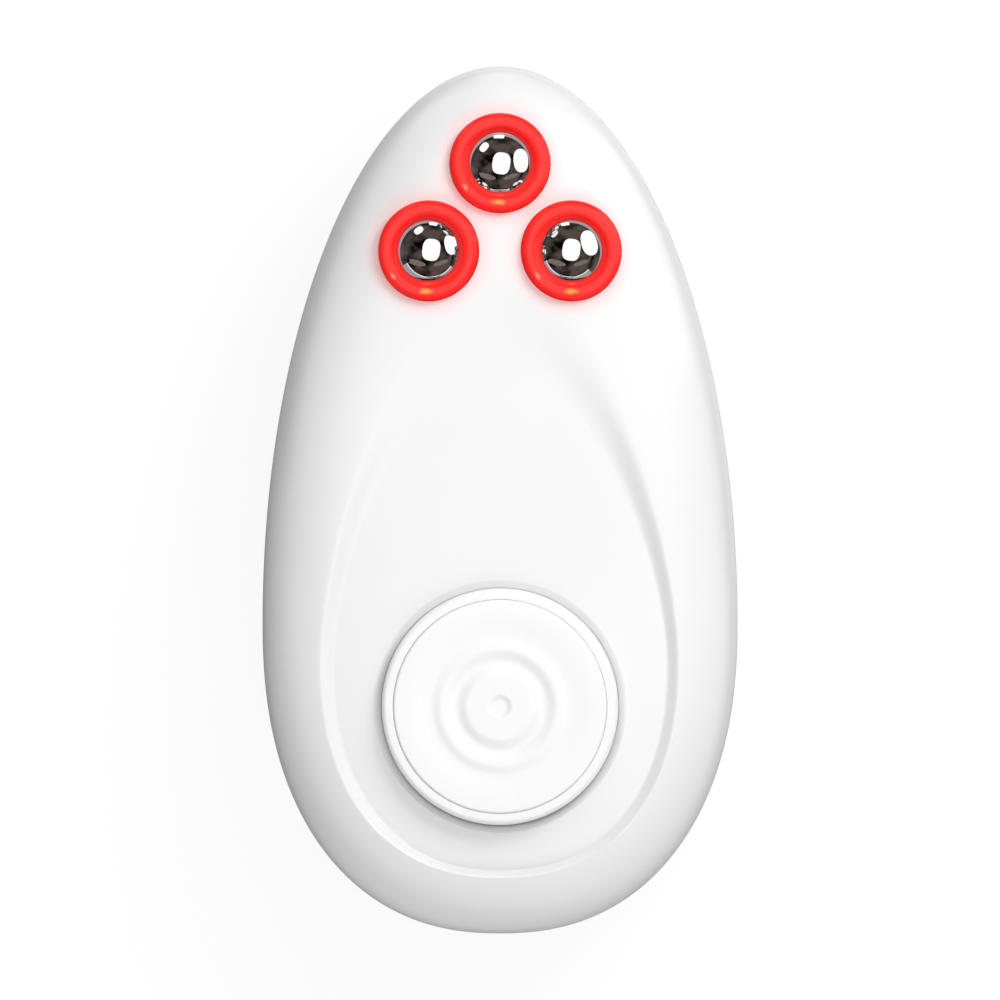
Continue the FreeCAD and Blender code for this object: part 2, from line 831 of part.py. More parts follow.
def rounded(half_width, half_height, corner):
    """Rectangle round the middle with round corners."""
    inner_x = half_width - corner
    inner_y = half_height - corner
    return [(-inner_x, -half_height), (inner_x, -half_height, corner, 1), (half_width, -inner_y),
            (half_width, inner_y, corner, 1), (inner_x, half_height), (-inner_x, half_height, corner, 1),
            (-half_width, inner_y), (-half_width, -inner_y, corner, 1)]


def rear_shell():
    lip = egg_prism("lip", raw.wall / 2 + raw.lip_play, raw.parting_height - raw.lip_height,
                    raw.parting_height + raw.lip_height)
    groove = cut(egg_prism("groove_outside", -raw.overrun, raw.parting_height - raw.parting_groove,
                           raw.parting_height + raw.overrun),
                 egg_prism("groove_inside", raw.parting_groove, raw.parting_height - raw.overrun,
                           raw.parting_height + raw.overrun * 2))
    room = cut(rear_cavity(), rear_bosses())
    outside = cut(fuse([rear_form(), lip]), groove)
    return keep(cut(cut(outside, room), rear_openings()), "rear_shell")


# Balls, rings and cups

def light_ring(label, frame):
    ring = size.ring_diameter / 2
    crest = size.ring_crest_diameter / 2
    mouth = size.ring_mouth_diameter / 2
    skirt = size.ring_skirt_diameter / 2
    crest_round = ring - crest
    slope_width = crest - mouth
    slope_drop = size.ring_crest - size.ring_mouth_height
    slope_round = (slope_width * slope_width + slope_drop * slope_drop) / (slope_drop * 2)
    body = new_body(label)
    revolve(body, [
        (ball_room, -size.ring_skirt_depth), (skirt, -size.ring_skirt_depth), (skirt, -size.ring_seat_depth),
        (ring, -size.ring_seat_depth), (ring, size.ring_crest - crest_round, crest_round, 1),
        (crest, size.ring_crest, slope_round, 1), (mouth, size.ring_mouth_height),
        (lip_radius, size.ring_lip_height, ball_room, -1), (ball_room, ball_centre)])
    body.Placement = frame


def roller_ball(label, frame):
    ball = keep(doc.addObject("Part::Sphere", label), label)
    bind(ball, "Radius", size.ball_diameter / 2)
    place_in(frame, ball, z=ball_centre.value)


def ball_cup(label, frame):
    plug = ball_room - size.push_fit
    edge_drop = size.cup_edge_drop
    edge = (ball_room * ball_room - edge_drop * edge_drop).root()
    bottom = ball_centre - ball_room - size.cup_floor
    stop = size.cup_stop_diameter / 2
    stop_top = -size.ring_skirt_depth - size.push_fit
    body = new_body(label)
    revolve(body, [
        (zero, bottom), (stop, bottom), (stop, stop_top), (plug, stop_top), (plug, ball_centre - edge_drop),
        (edge, ball_centre - edge_drop, ball_room, -1), (zero, ball_centre - ball_room)])
    body.Placement = frame


def led_board():
    body = new_body("led_board")
    nose = size.led_board_nose_width / 2
    rear = size.led_board_rear_width / 2
    rear_y = size.led_board_nose_y - size.led_board_length
    outline = draw_loop(new_sketch(body, "outline"), [
        (-rear, rear_y), (rear, rear_y), (nose, size.led_board_nose_y), (-nose, size.led_board_nose_y)])
    radius = size.led_screw_diameter / 2 + size.screw_play
    places = [(size.led_post_x, size.led_post_nose_y), (-size.led_post_x, size.led_post_nose_y),
              (zero, size.led_post_rear_y)]
    for number, (x, y) in enumerate(places):
        draw_circle(outline, x, y, radius, f"hole{number}")
    plate = pad(body, outline, size.led_board_thickness)
    soften(body, plate, size.led_board_corner, lambda edge: len(edge.Vertexes) == 2
           and along(edge, Vector(0, 0, 1)))
    place_in(head, body, z=-raw.led_board_depth - raw.led_board_thickness)


def red_leds():
    lamps = []
    board_top = -raw.led_board_depth
    for frame in sites.values():
        axis = head.inverse().multiply(frame)
        start, heading = axis.Base, axis.Rotation.multVec(Vector(0, 0, 1))
        foot = start + heading * ((board_top - start.z) / heading.z)
        for number in range(int(raw.leds_per_ring)):
            spin = 360 * number / raw.leds_per_ring + 90
            lamp = doc.addObject("Part::Box", "lamp")
            bind(lamp, "Length", size.led_width)
            bind(lamp, "Width", size.led_length)
            bind(lamp, "Height", size.led_height)
            spot = Placement(foot, Rotation(Vector(0, 0, 1), spin))
            inset = Vector((raw.led_circle - raw.led_width) / 2, -raw.led_length / 2, 0)
            offset = Placement(inset, Rotation())
            lamp.Placement = head.multiply(spot).multiply(offset)
            lamps.append(lamp)
    group(lamps, "red_leds")


def screw(diameter, head_diameter, head_height, length):
    """Screw along Z with its head under Z = 0."""
    top = cylinder(head_diameter / 2, head_height, zero, zero, -head_height)
    shank = cylinder(diameter / 2, length - diameter / 2, zero, zero, zero)
    tip = doc.addObject("Part::Cone", "tip")
    bind(tip, "Radius1", diameter / 2)
    bind(tip, "Radius2", diameter / 8)
    bind(tip, "Height", diameter / 2)
    move(tip, zero, zero, length - diameter / 2)
    return fuse([top, shank, tip])


def screws():
    case = [move(screw(size.screw_diameter, size.screw_head_diameter, size.screw_head_height,
                       size.screw_length), x, y, size.screw_seat_height)
            for x, y in nose_screws + tail_screws]
    group(case, "case_screws")
    board = [move(screw(size.screw_diameter, size.screw_head_diameter, size.screw_head_height,
                        size.board_screw_length), x, y, board_bottom) for x, y in board_screws]
    group(board, "board_screws")
    small = [place_in(head, screw(size.led_screw_diameter, size.led_screw_head_diameter,
                                  size.led_screw_head_height, size.led_screw_length),
                      x, y, -raw.led_board_depth - raw.led_board_thickness) for x, y in led_posts]
    group(small, "led_board_screws")


def screw_plugs():
    plugs = []
    for x, y in nose_screws + tail_screws:
        plug = cylinder(size.plug_diameter / 2, size.plug_depth, zero, zero, zero)
        plugs.append(sited(Placement(), plug, x.value, y.value, plug_bottom(x.value, y.value)))
    group(plugs, "screw_plugs")


# Button

def button_bezel():
    outer = size.bezel_diameter / 2
    inner = outer - size.bezel_rim
    bottom = -size.bezel_flange_thickness
    lip_room = cap_radius + size.cap_lip_reach + size.cap_gap
    edge = size.bezel_round
    body = new_body("button_bezel")
    revolve(body, [
        (lip_room, bottom), (flange_radius, bottom), (flange_radius, zero), (outer, zero),
        (outer, size.bezel_top - edge, edge, 1), (outer - edge, size.bezel_top),
        (inner + edge, size.bezel_top, edge, 1), (inner, size.bezel_top - edge),
        (inner, -size.bezel_roof_drop), (lip_room, -size.bezel_roof_drop)])
    move(body, zero, button_y, seat_height)


def wave(start, end):
    """Two equal arcs from a level place to the next one, outwards from the middle to the rim."""
    width = end[0] - start[0]
    rise = end[1] - start[1]
    radius = (width * width + rise * rise) / (rise * 4)
    turn = 1 if rise.value > 0 else -1
    if turn < 0:
        radius = -radius
    middle = (start[0] + width / 2, start[1] + rise / 2)
    return [(start[0], start[1], radius, turn), (middle[0], middle[1], radius, -turn)]


def button_cap():
    top = size.cap_top
    lip = cap_radius + size.cap_lip_reach
    inside = cap_radius - size.cap_skirt
    under = top - size.cap_thickness
    post = size.cap_post_diameter / 2
    post_bottom = stem_top - seat_height
    rounding = size.cap_edge_round
    dimple = (zero, top - size.dimple_depth)
    first_crest = (cap_radius * size.dimple_share, top)
    first_edge = (cap_radius * size.first_crest_share, top)
    first_trough = (cap_radius * size.first_trough_share, top - size.first_ripple_depth)
    second_crest = (cap_radius * size.second_crest_share, top)
    second_trough = (cap_radius * size.second_trough_share, top - size.second_ripple_depth)
    rim = (cap_radius * size.ripple_rim_share, top)
    relief = wave(dimple, first_crest) + [first_crest] + wave(first_edge, first_trough)
    relief += wave(first_trough, second_crest) + wave(second_crest, second_trough) + wave(second_trough, rim)
    relief += [rim, (cap_radius - rounding, top, rounding, -1), (cap_radius, top - rounding)]
    lip_bottom = lip_top - size.cap_lip_thickness
    body = new_body("button_cap")
    revolve(body, relief + [
        (cap_radius, lip_top), (lip, lip_top), (lip, lip_bottom), (inside, lip_bottom),
        (inside, under), (post, under), (post, post_bottom), (zero, post_bottom)])
    move(body, zero, button_y, seat_height)


# Electronics

def main_board():
    body = new_body("main_board")
    half = size.body_width * size.board_width_share / 2
    front_y = size.body_length * size.board_front_share
    side_y = board_tail + half - size.board_arc_drop
    sag = side_y - board_tail
    bend = (half * half + sag * sag) / (sag * 2)
    outline = draw_loop(new_sketch(body, "outline"), [
        (-half, side_y, bend, 1), (half, side_y), (half, front_y), (-half, front_y)])
    hole = size.screw_diameter / 2 + size.board_hole_play
    for number, (x, y) in enumerate(tail_screws + board_screws):
        draw_circle(outline, x, y, hole, f"hole{number}")
    pad(body, outline, size.board_thickness)
    move(body, zero, zero, board_bottom)


def tact_switch():
    half = size.switch_width / 2
    bore = size.switch_stem_diameter / 2 + size.switch_play
    base_height = size.switch_height - size.switch_plate
    base = new_body("switch_base")
    pad(base, draw_loop(new_sketch(base, "outline"), rounded(half, half, size.switch_corner)), base_height)
    well = draw_circle(new_sketch(base, "well", lift=base_height), zero, zero, bore, "well")
    pocket(base, well, size.switch_stem_root + size.button_travel + size.switch_play)
    move(base, zero, button_y, size.parting_height)
    cover = new_body("switch_cover")
    plate = draw_loop(new_sketch(cover, "outline"), rounded(half, half, size.switch_corner))
    draw_circle(plate, zero, zero, bore, "bore")
    pad(cover, plate, size.switch_plate)
    move(cover, zero, button_y, size.parting_height + base_height)
    stem = new_body("switch_stem")
    radius = size.switch_stem_diameter / 2
    bottom = base_height - size.switch_stem_root
    top = stem_top - size.parting_height
    edge = size.switch_corner / 2
    revolve(stem, [(zero, bottom), (radius, bottom), (radius, top - edge, edge, 1), (radius - edge, top),
                   (zero, top)])
    move(stem, zero, button_y, size.parting_height)
    legs = []
    for side in (-1, 1):
        for end in (-1, 1):
            legs.append(box(size.switch_leg_length, size.switch_leg_width, size.switch_leg_height,
                            (half + size.switch_leg_length / 2) * side,
                            button_y + size.switch_leg_pitch * end / 2, size.parting_height))
    group(legs, "switch_legs")


def board_parts():
    keep(box(size.chip_length, size.chip_width, size.chip_height, size.chip_x,
             size.body_length * size.chip_share, board_bottom - size.chip_height), "control_chip")
    keep(cylinder(size.coil_diameter / 2, size.coil_height, size.coil_x,
                  size.body_length * size.coil_share, board_bottom - size.coil_height), "boost_coil")
    count = int(raw.small_part_count)
    row = [box(size.small_part_width, size.small_part_length, size.small_part_height,
               size.small_part_pitch * (2 * number - count + 1) / 2, size.body_length * size.small_part_share,
               board_bottom - size.small_part_height) for number in range(count)]
    group(row, "small_parts")


def charging_socket():
    half_width = size.socket_width / 2
    half_height = size.socket_height / 2
    corner = half_height - size.socket_play
    sheet_metal = size.socket_sheet
    shell = new_body("socket_shell")
    outline = draw_loop(new_sketch(shell, "outline", "XZ_Plane"), rounded(half_width, half_height, corner))
    draw_loop(outline, rounded(half_width - sheet_metal, half_height - sheet_metal,
                               corner - sheet_metal), "b")
    pad(shell, outline, size.socket_length, backwards=True)
    move(shell, zero, socket_mouth, socket_middle)
    insert = new_body("socket_tongue")
    tight = sheet_metal + size.push_fit
    back = draw_loop(new_sketch(insert, "back", "XZ_Plane"),
                     rounded(half_width - tight, half_height - tight, corner - tight))
    pad(insert, back, size.socket_back)
    reach = size.socket_length - size.tongue_setback
    blade = draw_loop(new_sketch(insert, "blade", "XZ_Plane"),
                      rectangle(-size.tongue_width / 2, -size.tongue_thickness / 2,
                                size.tongue_width / 2, size.tongue_thickness / 2))
    pad(insert, blade, reach)
    move(insert, zero, socket_mouth + size.socket_length, socket_middle)


def battery():
    floor = size.wall
    keep(box(size.battery_width - size.pad_margin, battery_length - size.pad_margin, size.pad_thickness,
             zero, battery_y, floor), "battery_pad")
    cell = new_body("battery_cell")
    half_width = size.battery_width / 2
    half_length = battery_length / 2
    outline = rectangle(-half_width, -half_length, half_width, half_length - size.battery_cover_length)
    block = pad(cell, draw_loop(new_sketch(cell, "outline"), outline), size.battery_thickness)
    soften(cell, block, size.battery_corner, lambda edge: along(edge, Vector(0, 1, 0)))
    move(cell, zero, battery_y, floor + size.pad_thickness)
    keep(box(size.battery_width - size.battery_corner * 2, size.battery_cover_length,
             size.battery_thickness - size.battery_corner, zero,
             battery_y + half_length - size.battery_cover_length / 2,
             floor + size.pad_thickness), "battery_guard")


def motor():
    radius = size.motor_diameter / 2
    length = size.motor_length
    nose = size.motor_nose_diameter / 2
    nose_top = length + size.motor_nose_length
    bore = size.shaft_diameter / 2 + size.shaft_play
    root = length - size.shaft_root
    can = new_body("motor_can")
    edge = size.motor_round
    revolve(can, [(zero, zero), (radius, zero), (radius, length - edge, edge, 1), (radius - edge, length),
                  (nose, length), (nose, nose_top), (bore, nose_top), (bore, root), (zero, root)])
    cap = new_body("motor_end_cap")
    cap_bottom = -size.motor_cap_thickness
    revolve(cap, [(zero, cap_bottom), (radius - size.motor_cap_inset * 2, cap_bottom),
                  (radius - size.motor_cap_inset, zero), (zero, zero)])
    shaft = new_body("motor_shaft")
    shaft_end = root + size.shaft_play + size.shaft_length
    revolve(shaft, [(zero, root + size.shaft_play), (size.shaft_diameter / 2, root + size.shaft_play),
                    (size.shaft_diameter / 2, shaft_end), (zero, shaft_end)])
    weight = new_body("eccentric_weight")
    swing = size.weight_diameter / 2
    flat = size.weight_flat
    chord = (swing * swing - flat * flat).root()
    weight_start = nose_top + size.weight_gap
    moon = draw_loop(new_sketch(weight, "moon", lift=weight_start),
                     [(-chord, -flat, swing, 1), (chord, -flat)])
    pad(weight, moon, size.weight_length)
    hub = draw_circle(new_sketch(weight, "hub", lift=weight_start), zero, zero,
                      size.weight_hub_diameter / 2, "hub")
    pad(weight, hub, size.weight_length)
    hole = draw_circle(new_sketch(weight, "hole", lift=weight_start), zero, zero,
                       size.shaft_diameter / 2 + size.shaft_play / 2, "hole")
    pocket(weight, hole, size.weight_length, backwards=True)
    sleeve = new_body("motor_sleeve")
    sleeve_in = radius + size.push_fit
    revolve(sleeve, [(sleeve_in, size.sleeve_inset), (sleeve_radius, size.sleeve_inset),
                     (sleeve_radius, size.sleeve_inset + size.sleeve_length),
                     (sleeve_in, size.sleeve_inset + size.sleeve_length)])
    for body in (can, cap, shaft, weight, sleeve):
        move(body, size.motor_left, motor_y, size.motor_height, motor_turn)
    tags = [box(size.motor_terminal_length, size.motor_terminal_size, size.motor_terminal_size,
                size.motor_left - size.motor_cap_thickness - size.motor_terminal_length / 2,
                motor_y + size.motor_terminal_pitch * side / 2, size.motor_height) for side in (-1, 1)]
    group(tags, "motor_terminals")


def write_parts():
    doc.recompute()
    broken = [item.Name for item in doc.Objects if "Invalid" in item.State or "Error" in item.State]
    if broken:
        raise RuntimeError(f"failed objects: {broken}")
    for piece in pieces:
        if piece.Shape.isNull() or not piece.Shape.isValid():
            raise RuntimeError(f"bad shape: {piece.Label}")
    os.makedirs("parts", exist_ok=True)
    for piece in pieces:
        piece.Shape.exportStep(f"parts/{piece.Label}.step")
        print(piece.Label, len(piece.Shape.Solids), round(piece.Shape.Volume, 1))


front_shell()
rear_shell()
for site, frame in sites.items():
    light_ring(f"light_ring_{site}", frame)
    roller_ball(f"roller_ball_{site}", frame)
    ball_cup(f"ball_cup_{site}", frame)
led_board()
red_leds()
button_bezel()
button_cap()
main_board()
tact_switch()
board_parts()
charging_socket()
battery()
motor()
screws()
screw_plugs()
write_parts()
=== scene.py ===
import math
import bpy
import bmesh
from mathutils import Matrix, Vector


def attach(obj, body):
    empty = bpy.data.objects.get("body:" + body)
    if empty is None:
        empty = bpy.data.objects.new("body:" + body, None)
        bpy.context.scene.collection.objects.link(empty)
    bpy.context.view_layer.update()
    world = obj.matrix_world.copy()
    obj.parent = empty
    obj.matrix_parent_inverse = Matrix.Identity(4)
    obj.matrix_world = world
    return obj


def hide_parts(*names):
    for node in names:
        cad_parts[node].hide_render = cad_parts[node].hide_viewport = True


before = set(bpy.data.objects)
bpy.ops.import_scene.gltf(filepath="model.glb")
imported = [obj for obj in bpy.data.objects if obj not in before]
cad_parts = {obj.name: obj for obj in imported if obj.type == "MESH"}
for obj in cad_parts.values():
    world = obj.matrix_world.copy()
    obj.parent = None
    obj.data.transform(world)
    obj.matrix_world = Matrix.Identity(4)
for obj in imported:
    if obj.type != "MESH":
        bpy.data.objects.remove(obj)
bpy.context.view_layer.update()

scene = bpy.context.scene
scene.view_settings.view_transform = "Standard"
mm = 0.001
print("frame loaded:", len(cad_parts), "nodes")


def colour(code):
    # sRGB hex to linear
    parts = [int(code[i:i + 2], 16) / 255 for i in (0, 2, 4)]
    linear = [p / 12.92 if p <= 0.04045 else ((p + 0.055) / 1.055) ** 2.4 for p in parts]
    return tuple(linear) + (1.0,)


def addNode(tree, kind, links=None, **settings):
    node = tree.nodes.new(kind)
    for name, value in settings.items():
        setattr(node, name, value)
    for socket, value in (links or {}).items():
        if isinstance(value, bpy.types.NodeSocket):
            tree.links.new(value, node.inputs[socket])
        else:
            node.inputs[socket].default_value = value
    return node


def newMaterial(name):
    material = bpy.data.materials.new(name)
    material.use_nodes = True
    material.node_tree.nodes.clear()
    return material, material.node_tree


def setRamp(node, stops):
    ramp = node.color_ramp
    while len(ramp.elements) < len(stops):
        ramp.elements.new(1.0)
    for element, (place, code) in zip(ramp.elements, stops):
        element.position = place
        element.color = colour(code)


def newPiece(name, mesh, material, body, nodes):
    piece = bpy.data.objects.new(name, mesh)
    scene.collection.objects.link(piece)
    mesh.materials.clear()
    mesh.materials.append(material)
    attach(piece, body)
    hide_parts(*nodes)
    return piece


def smoothShade(mesh, sharpAngle=35):
    mesh.shade_smooth()
    mesh.set_sharp_from_angle(angle=math.radians(sharpAngle))


def finishMesh(mesh, sharpAngle=35):
    bm = bmesh.new()
    bm.from_mesh(mesh)
    bmesh.ops.remove_doubles(bm, verts=bm.verts, dist=1e-7)
    bmesh.ops.recalc_face_normals(bm, faces=bm.faces)
    bm.to_mesh(mesh)
    bm.free()
    smoothShade(mesh, sharpAngle)


def meshFrom(name, points, faces):
    mesh = bpy.data.meshes.new(name)
    mesh.from_pydata(points, [], faces)
    finishMesh(mesh)
    return mesh


# Body outline and dome, the same rule as the solids

bodyForm = {
    "halfWidth": 27.4,
    "noseLength": 64.1,
    "tailLength": 35.9,
    "wideY": -14.1,
    "nosePower": 2.0,
    "tailPower": 2.28,
    "partingHeight": 15.0,
    "frontRise": 13.5,
    "frontPower": 4.5,
    "rearPower": 3.6,
    "baseShare": 0.55,
    "groove": 0.3,
    "wall": 2.0,
    "roundPoints": 224,
}


def bulge(share, power):
    return max(0.0, 1 - share ** power) ** (1 / power)


def eggLine(halfWidth, nose, tail, middleY, nosePower, tailPower):
    line = []
    for i in range(bodyForm["roundPoints"]):
        angle = 2 * math.pi * i / bodyForm["roundPoints"]
        across, ahead = math.cos(angle), math.sin(angle)
        power, reach = (nosePower, nose) if ahead >= 0 else (tailPower, tail)
        x = halfWidth * math.copysign(abs(across) ** (2 / power), across)
        y = reach * math.copysign(abs(ahead) ** (2 / power), ahead)
        line.append((x, middleY + y))
    return line


def bodyEgg(inset=0.0, share=1.0):
    f = bodyForm
    return eggLine((f["halfWidth"] - inset) * share, (f["noseLength"] - inset) * share,
                   (f["tailLength"] - inset) * share, f["wideY"], f["nosePower"], f["tailPower"])


def eggShare(x, y):
    f = bodyForm
    nose = y >= f["wideY"]
    power, reach = (f["nosePower"], f["noseLength"]) if nose else (f["tailPower"], f["tailLength"])
    return ((abs(x) / f["halfWidth"]) ** power + (abs(y - f["wideY"]) / reach) ** power) ** (1 / power)


def domeHeight(x, y):
    f = bodyForm
    return f["partingHeight"] + f["frontRise"] * bulge(eggShare(x, y), f["frontPower"])


def evenShares(power, rise, lastShare, count):
    # shares of the outline at even steps along the edge's curve
    steps = 4000
    path = []
    length = 0.0
    last = None
    for i in range(steps + 1):
        t = math.pi / 2 * i / steps
        share, level = math.cos(t) ** (2 / power), math.sin(t) ** (2 / power)
        point = ((1 - share) * bodyForm["halfWidth"], level * rise)
        if last:
            length += math.hypot(point[0] - last[0], point[1] - last[1])
        last = point
        path.append((length, share))
        if share <= lastShare:
            break
    picked = []
    for i in range(count):
        goal = length * i / (count - 1)
        picked.append(next(share for along, share in path if along >= goal - 1e-9))
    return picked


def mixLines(first, second, share):
    return [(a[0] + (b[0] - a[0]) * share, a[1] + (b[1] - a[1]) * share) for a, b in zip(first, second)]


def smooth(t):
    return t * t * (3 - 2 * t)


def skin(name, rows, closeLast):
    # rows of points in mm, joined by quads
    count = len(rows[0])
    points = [tuple(c * mm for c in p) for row in rows for p in row]
    faces = []
    for r in range(len(rows) - 1):
        for i in range(count):
            j = (i + 1) % count
            here, below = r * count, (r + 1) * count
            faces.append((here + i, here + j, below + j, below + i))
    if closeLast:
        faces.append(tuple((len(rows) - 1) * count + i for i in range(count)))
    return meshFrom(name, points, faces)


def applied(name, mesh, setUp):
    # bakes modifiers into a plain mesh
    holder = bpy.data.objects.new(name, mesh)
    scene.collection.objects.link(holder)
    setUp(holder)
    depsgraph = bpy.context.evaluated_depsgraph_get()
    result = bpy.data.meshes.new_from_object(holder.evaluated_get(depsgraph))
    bpy.data.objects.remove(holder)
    return result


def lathe(profile, segments, closed, middle=(0.0, 0.0, 0.0), place=None, shares=None):
    # profile of (radius, height) in mm round the Z axis; poles are single points
    points, faces, ringStart, values = [], [], [], []
    for k, (radius, height) in enumerate(profile):
        ringStart.append(len(points))
        turns = 1 if radius < 1e-6 else segments
        for i in range(turns):
            angle = 2 * math.pi * i / segments
            points.append(Vector((radius * math.cos(angle), radius * math.sin(angle), height)))
            values.append(shares[k] if shares else 0.0)
    pairs = list(zip(range(len(profile) - 1), range(1, len(profile))))
    if closed:
        pairs.append((len(profile) - 1, 0))
    for a, b in pairs:
        for i in range(segments):
            j = (i + 1) % segments
            ends = []
            for k in (a, b):
                pole = profile[k][0] < 1e-6
                start = ringStart[k]
                ends.append((start, start) if pole else (start + i, start + j))
            corner = [ends[0][0], ends[0][1], ends[1][1], ends[1][0]]
            corner = [c for n, c in enumerate(corner) if c not in corner[:n]]
            if len(corner) > 2:
                faces.append(tuple(corner))
    turn = place or Matrix.Translation(Vector(middle))
    points = [tuple((turn @ p) * mm) for p in points]
    mesh = bpy.data.meshes.new("lathe")
    mesh.from_pydata(points, [], faces)
    if shares:
        spread = mesh.attributes.new("acrossRing", "FLOAT", "POINT")
        spread.data.foreach_set("value", values)
    return mesh


def arc(middle, radius, start, end, count):
    # points of an arc in the profile plane, degrees
    return [(middle[0] + radius * math.cos(math.radians(start + (end - start) * i / count)),
             middle[1] + radius * math.sin(math.radians(start + (end - start) * i / count)))
            for i in range(count + 1)]


# Where the three balls sit: on the dome, along its normal

ballSites = {"top": (0.0, 38.7), "left": (-8.2, 28.6), "right": (8.2, 28.6)}


def siteFrame(x, y):
    step = 0.1
    slopeX = (domeHeight(x + step, y) - domeHeight(x - step, y)) / (2 * step)
    slopeY = (domeHeight(x, y + step) - domeHeight(x, y - step)) / (2 * step)
    normal = Vector((-slopeX, -slopeY, 1)).normalized()
    turn = Vector((0, 0, 1)).rotation_difference(normal).to_matrix().to_4x4()
    return Matrix.Translation(Vector((x, y, domeHeight(x, y)))) @ turn


siteFrames = {name: siteFrame(*place) for name, place in ballSites.items()}

# Materials

# painted red glow round the rings: radii in mm, how fast it falls off, share
paintedGlow = {"inner": 5.6, "outer": 9.2, "fall": 2.0, "strength": 0.1, "tone": "FF2A2A"}
# mould face of the white plastic: sizes in mm
mouldFace = {"grain": 0.35, "cloud": 22, "dimple": 0.02, "dimpleStrength": 0.04, "roughSpread": 0.04}


def whiteAbs(name, code, shade, roughness, withPaintedGlow):
    # moulded ABS: clean white with a soft gloss and the faint unevenness of a mould face
    material, tree = newMaterial(name)
    coords = addNode(tree, "ShaderNodeTexCoord").outputs["Object"]
    grain = addNode(tree, "ShaderNodeTexNoise",
                    {"Vector": coords, "Scale": 1 / (mouldFace["grain"] * mm), "Detail": 3.0})
    cloud = addNode(tree, "ShaderNodeTexNoise",
                    {"Vector": coords, "Scale": 1 / (mouldFace["cloud"] * mm), "Detail": 2.0})
    tone = addNode(tree, "ShaderNodeValToRGB", {"Fac": cloud.outputs["Fac"]})
    setRamp(tone, [(0.3, code), (0.7, shade)])
    base = tone.outputs["Color"]
    lit = 0.0
    if withPaintedGlow:
        # painted light: the shell's colour and emission turn red round the rings, a red glow painted on
        near = None
        for place in siteFrames.values():
            gap = addNode(tree, "ShaderNodeVectorMath",
                          {0: coords, 1: tuple(place.translation * mm)}, operation="DISTANCE")
            fade = addNode(tree, "ShaderNodeMapRange",
                           {"Value": gap.outputs["Value"], "From Min": paintedGlow["inner"] * mm,
                            "From Max": paintedGlow["outer"] * mm, "To Min": 1.0, "To Max": 0.0},
                           interpolation_type="SMOOTHERSTEP")
            fall = addNode(tree, "ShaderNodeMath", {0: fade.outputs["Result"], 1: paintedGlow["fall"]},
                           operation="POWER").outputs["Value"]
            near = fall if near is None else addNode(
                tree, "ShaderNodeMath", {0: near, 1: fall}, operation="ADD").outputs["Value"]
        amount = addNode(tree, "ShaderNodeMath", {0: near, 1: paintedGlow["strength"]}, operation="MULTIPLY")
        paintedGlowTint = addNode(tree, "ShaderNodeMix",
                        {"Factor": amount.outputs["Value"], 6: base, 7: colour(paintedGlow["tone"])},
                        data_type="RGBA")
        base, lit = paintedGlowTint.outputs[2], amount.outputs["Value"]
    rough = addNode(tree, "ShaderNodeMapRange",
                    {"Value": grain.outputs["Fac"], "To Min": roughness - mouldFace["roughSpread"],
                     "To Max": roughness + mouldFace["roughSpread"]})
    dimples = addNode(tree, "ShaderNodeBump",
                      {"Height": grain.outputs["Fac"], "Strength": mouldFace["dimpleStrength"],
                       "Distance": mouldFace["dimple"] * mm})
    shader = addNode(tree, "ShaderNodeBsdfPrincipled",
                     {"Base Color": base, "Roughness": rough.outputs["Result"],
                      "Normal": dimples.outputs["Normal"], "IOR": 1.53,
                      "Coat Weight": 0.15, "Coat Roughness": 0.08,
                      "Emission Color": colour(paintedGlow["tone"]), "Emission Strength": lit})
    addNode(tree, "ShaderNodeOutputMaterial", {"Surface": shader.outputs["BSDF"]})
    return material


# painted highlights on each ring, spots that glow: turn in degrees, radius and half sizes in mm
paintedRingHighlights = [
    {"turn": 268, "radius": 4.75, "half": (1.15, 0.5), "tone": "FFC23C", "strength": 0.75},
    {"turn": 269, "radius": 3.85, "half": (0.8, 0.25), "tone": "FF7058", "strength": 0.4},
    {"turn": 217, "radius": 5.0, "half": (0.7, 0.32), "tone": "FFC0A0", "strength": 0.5},
]


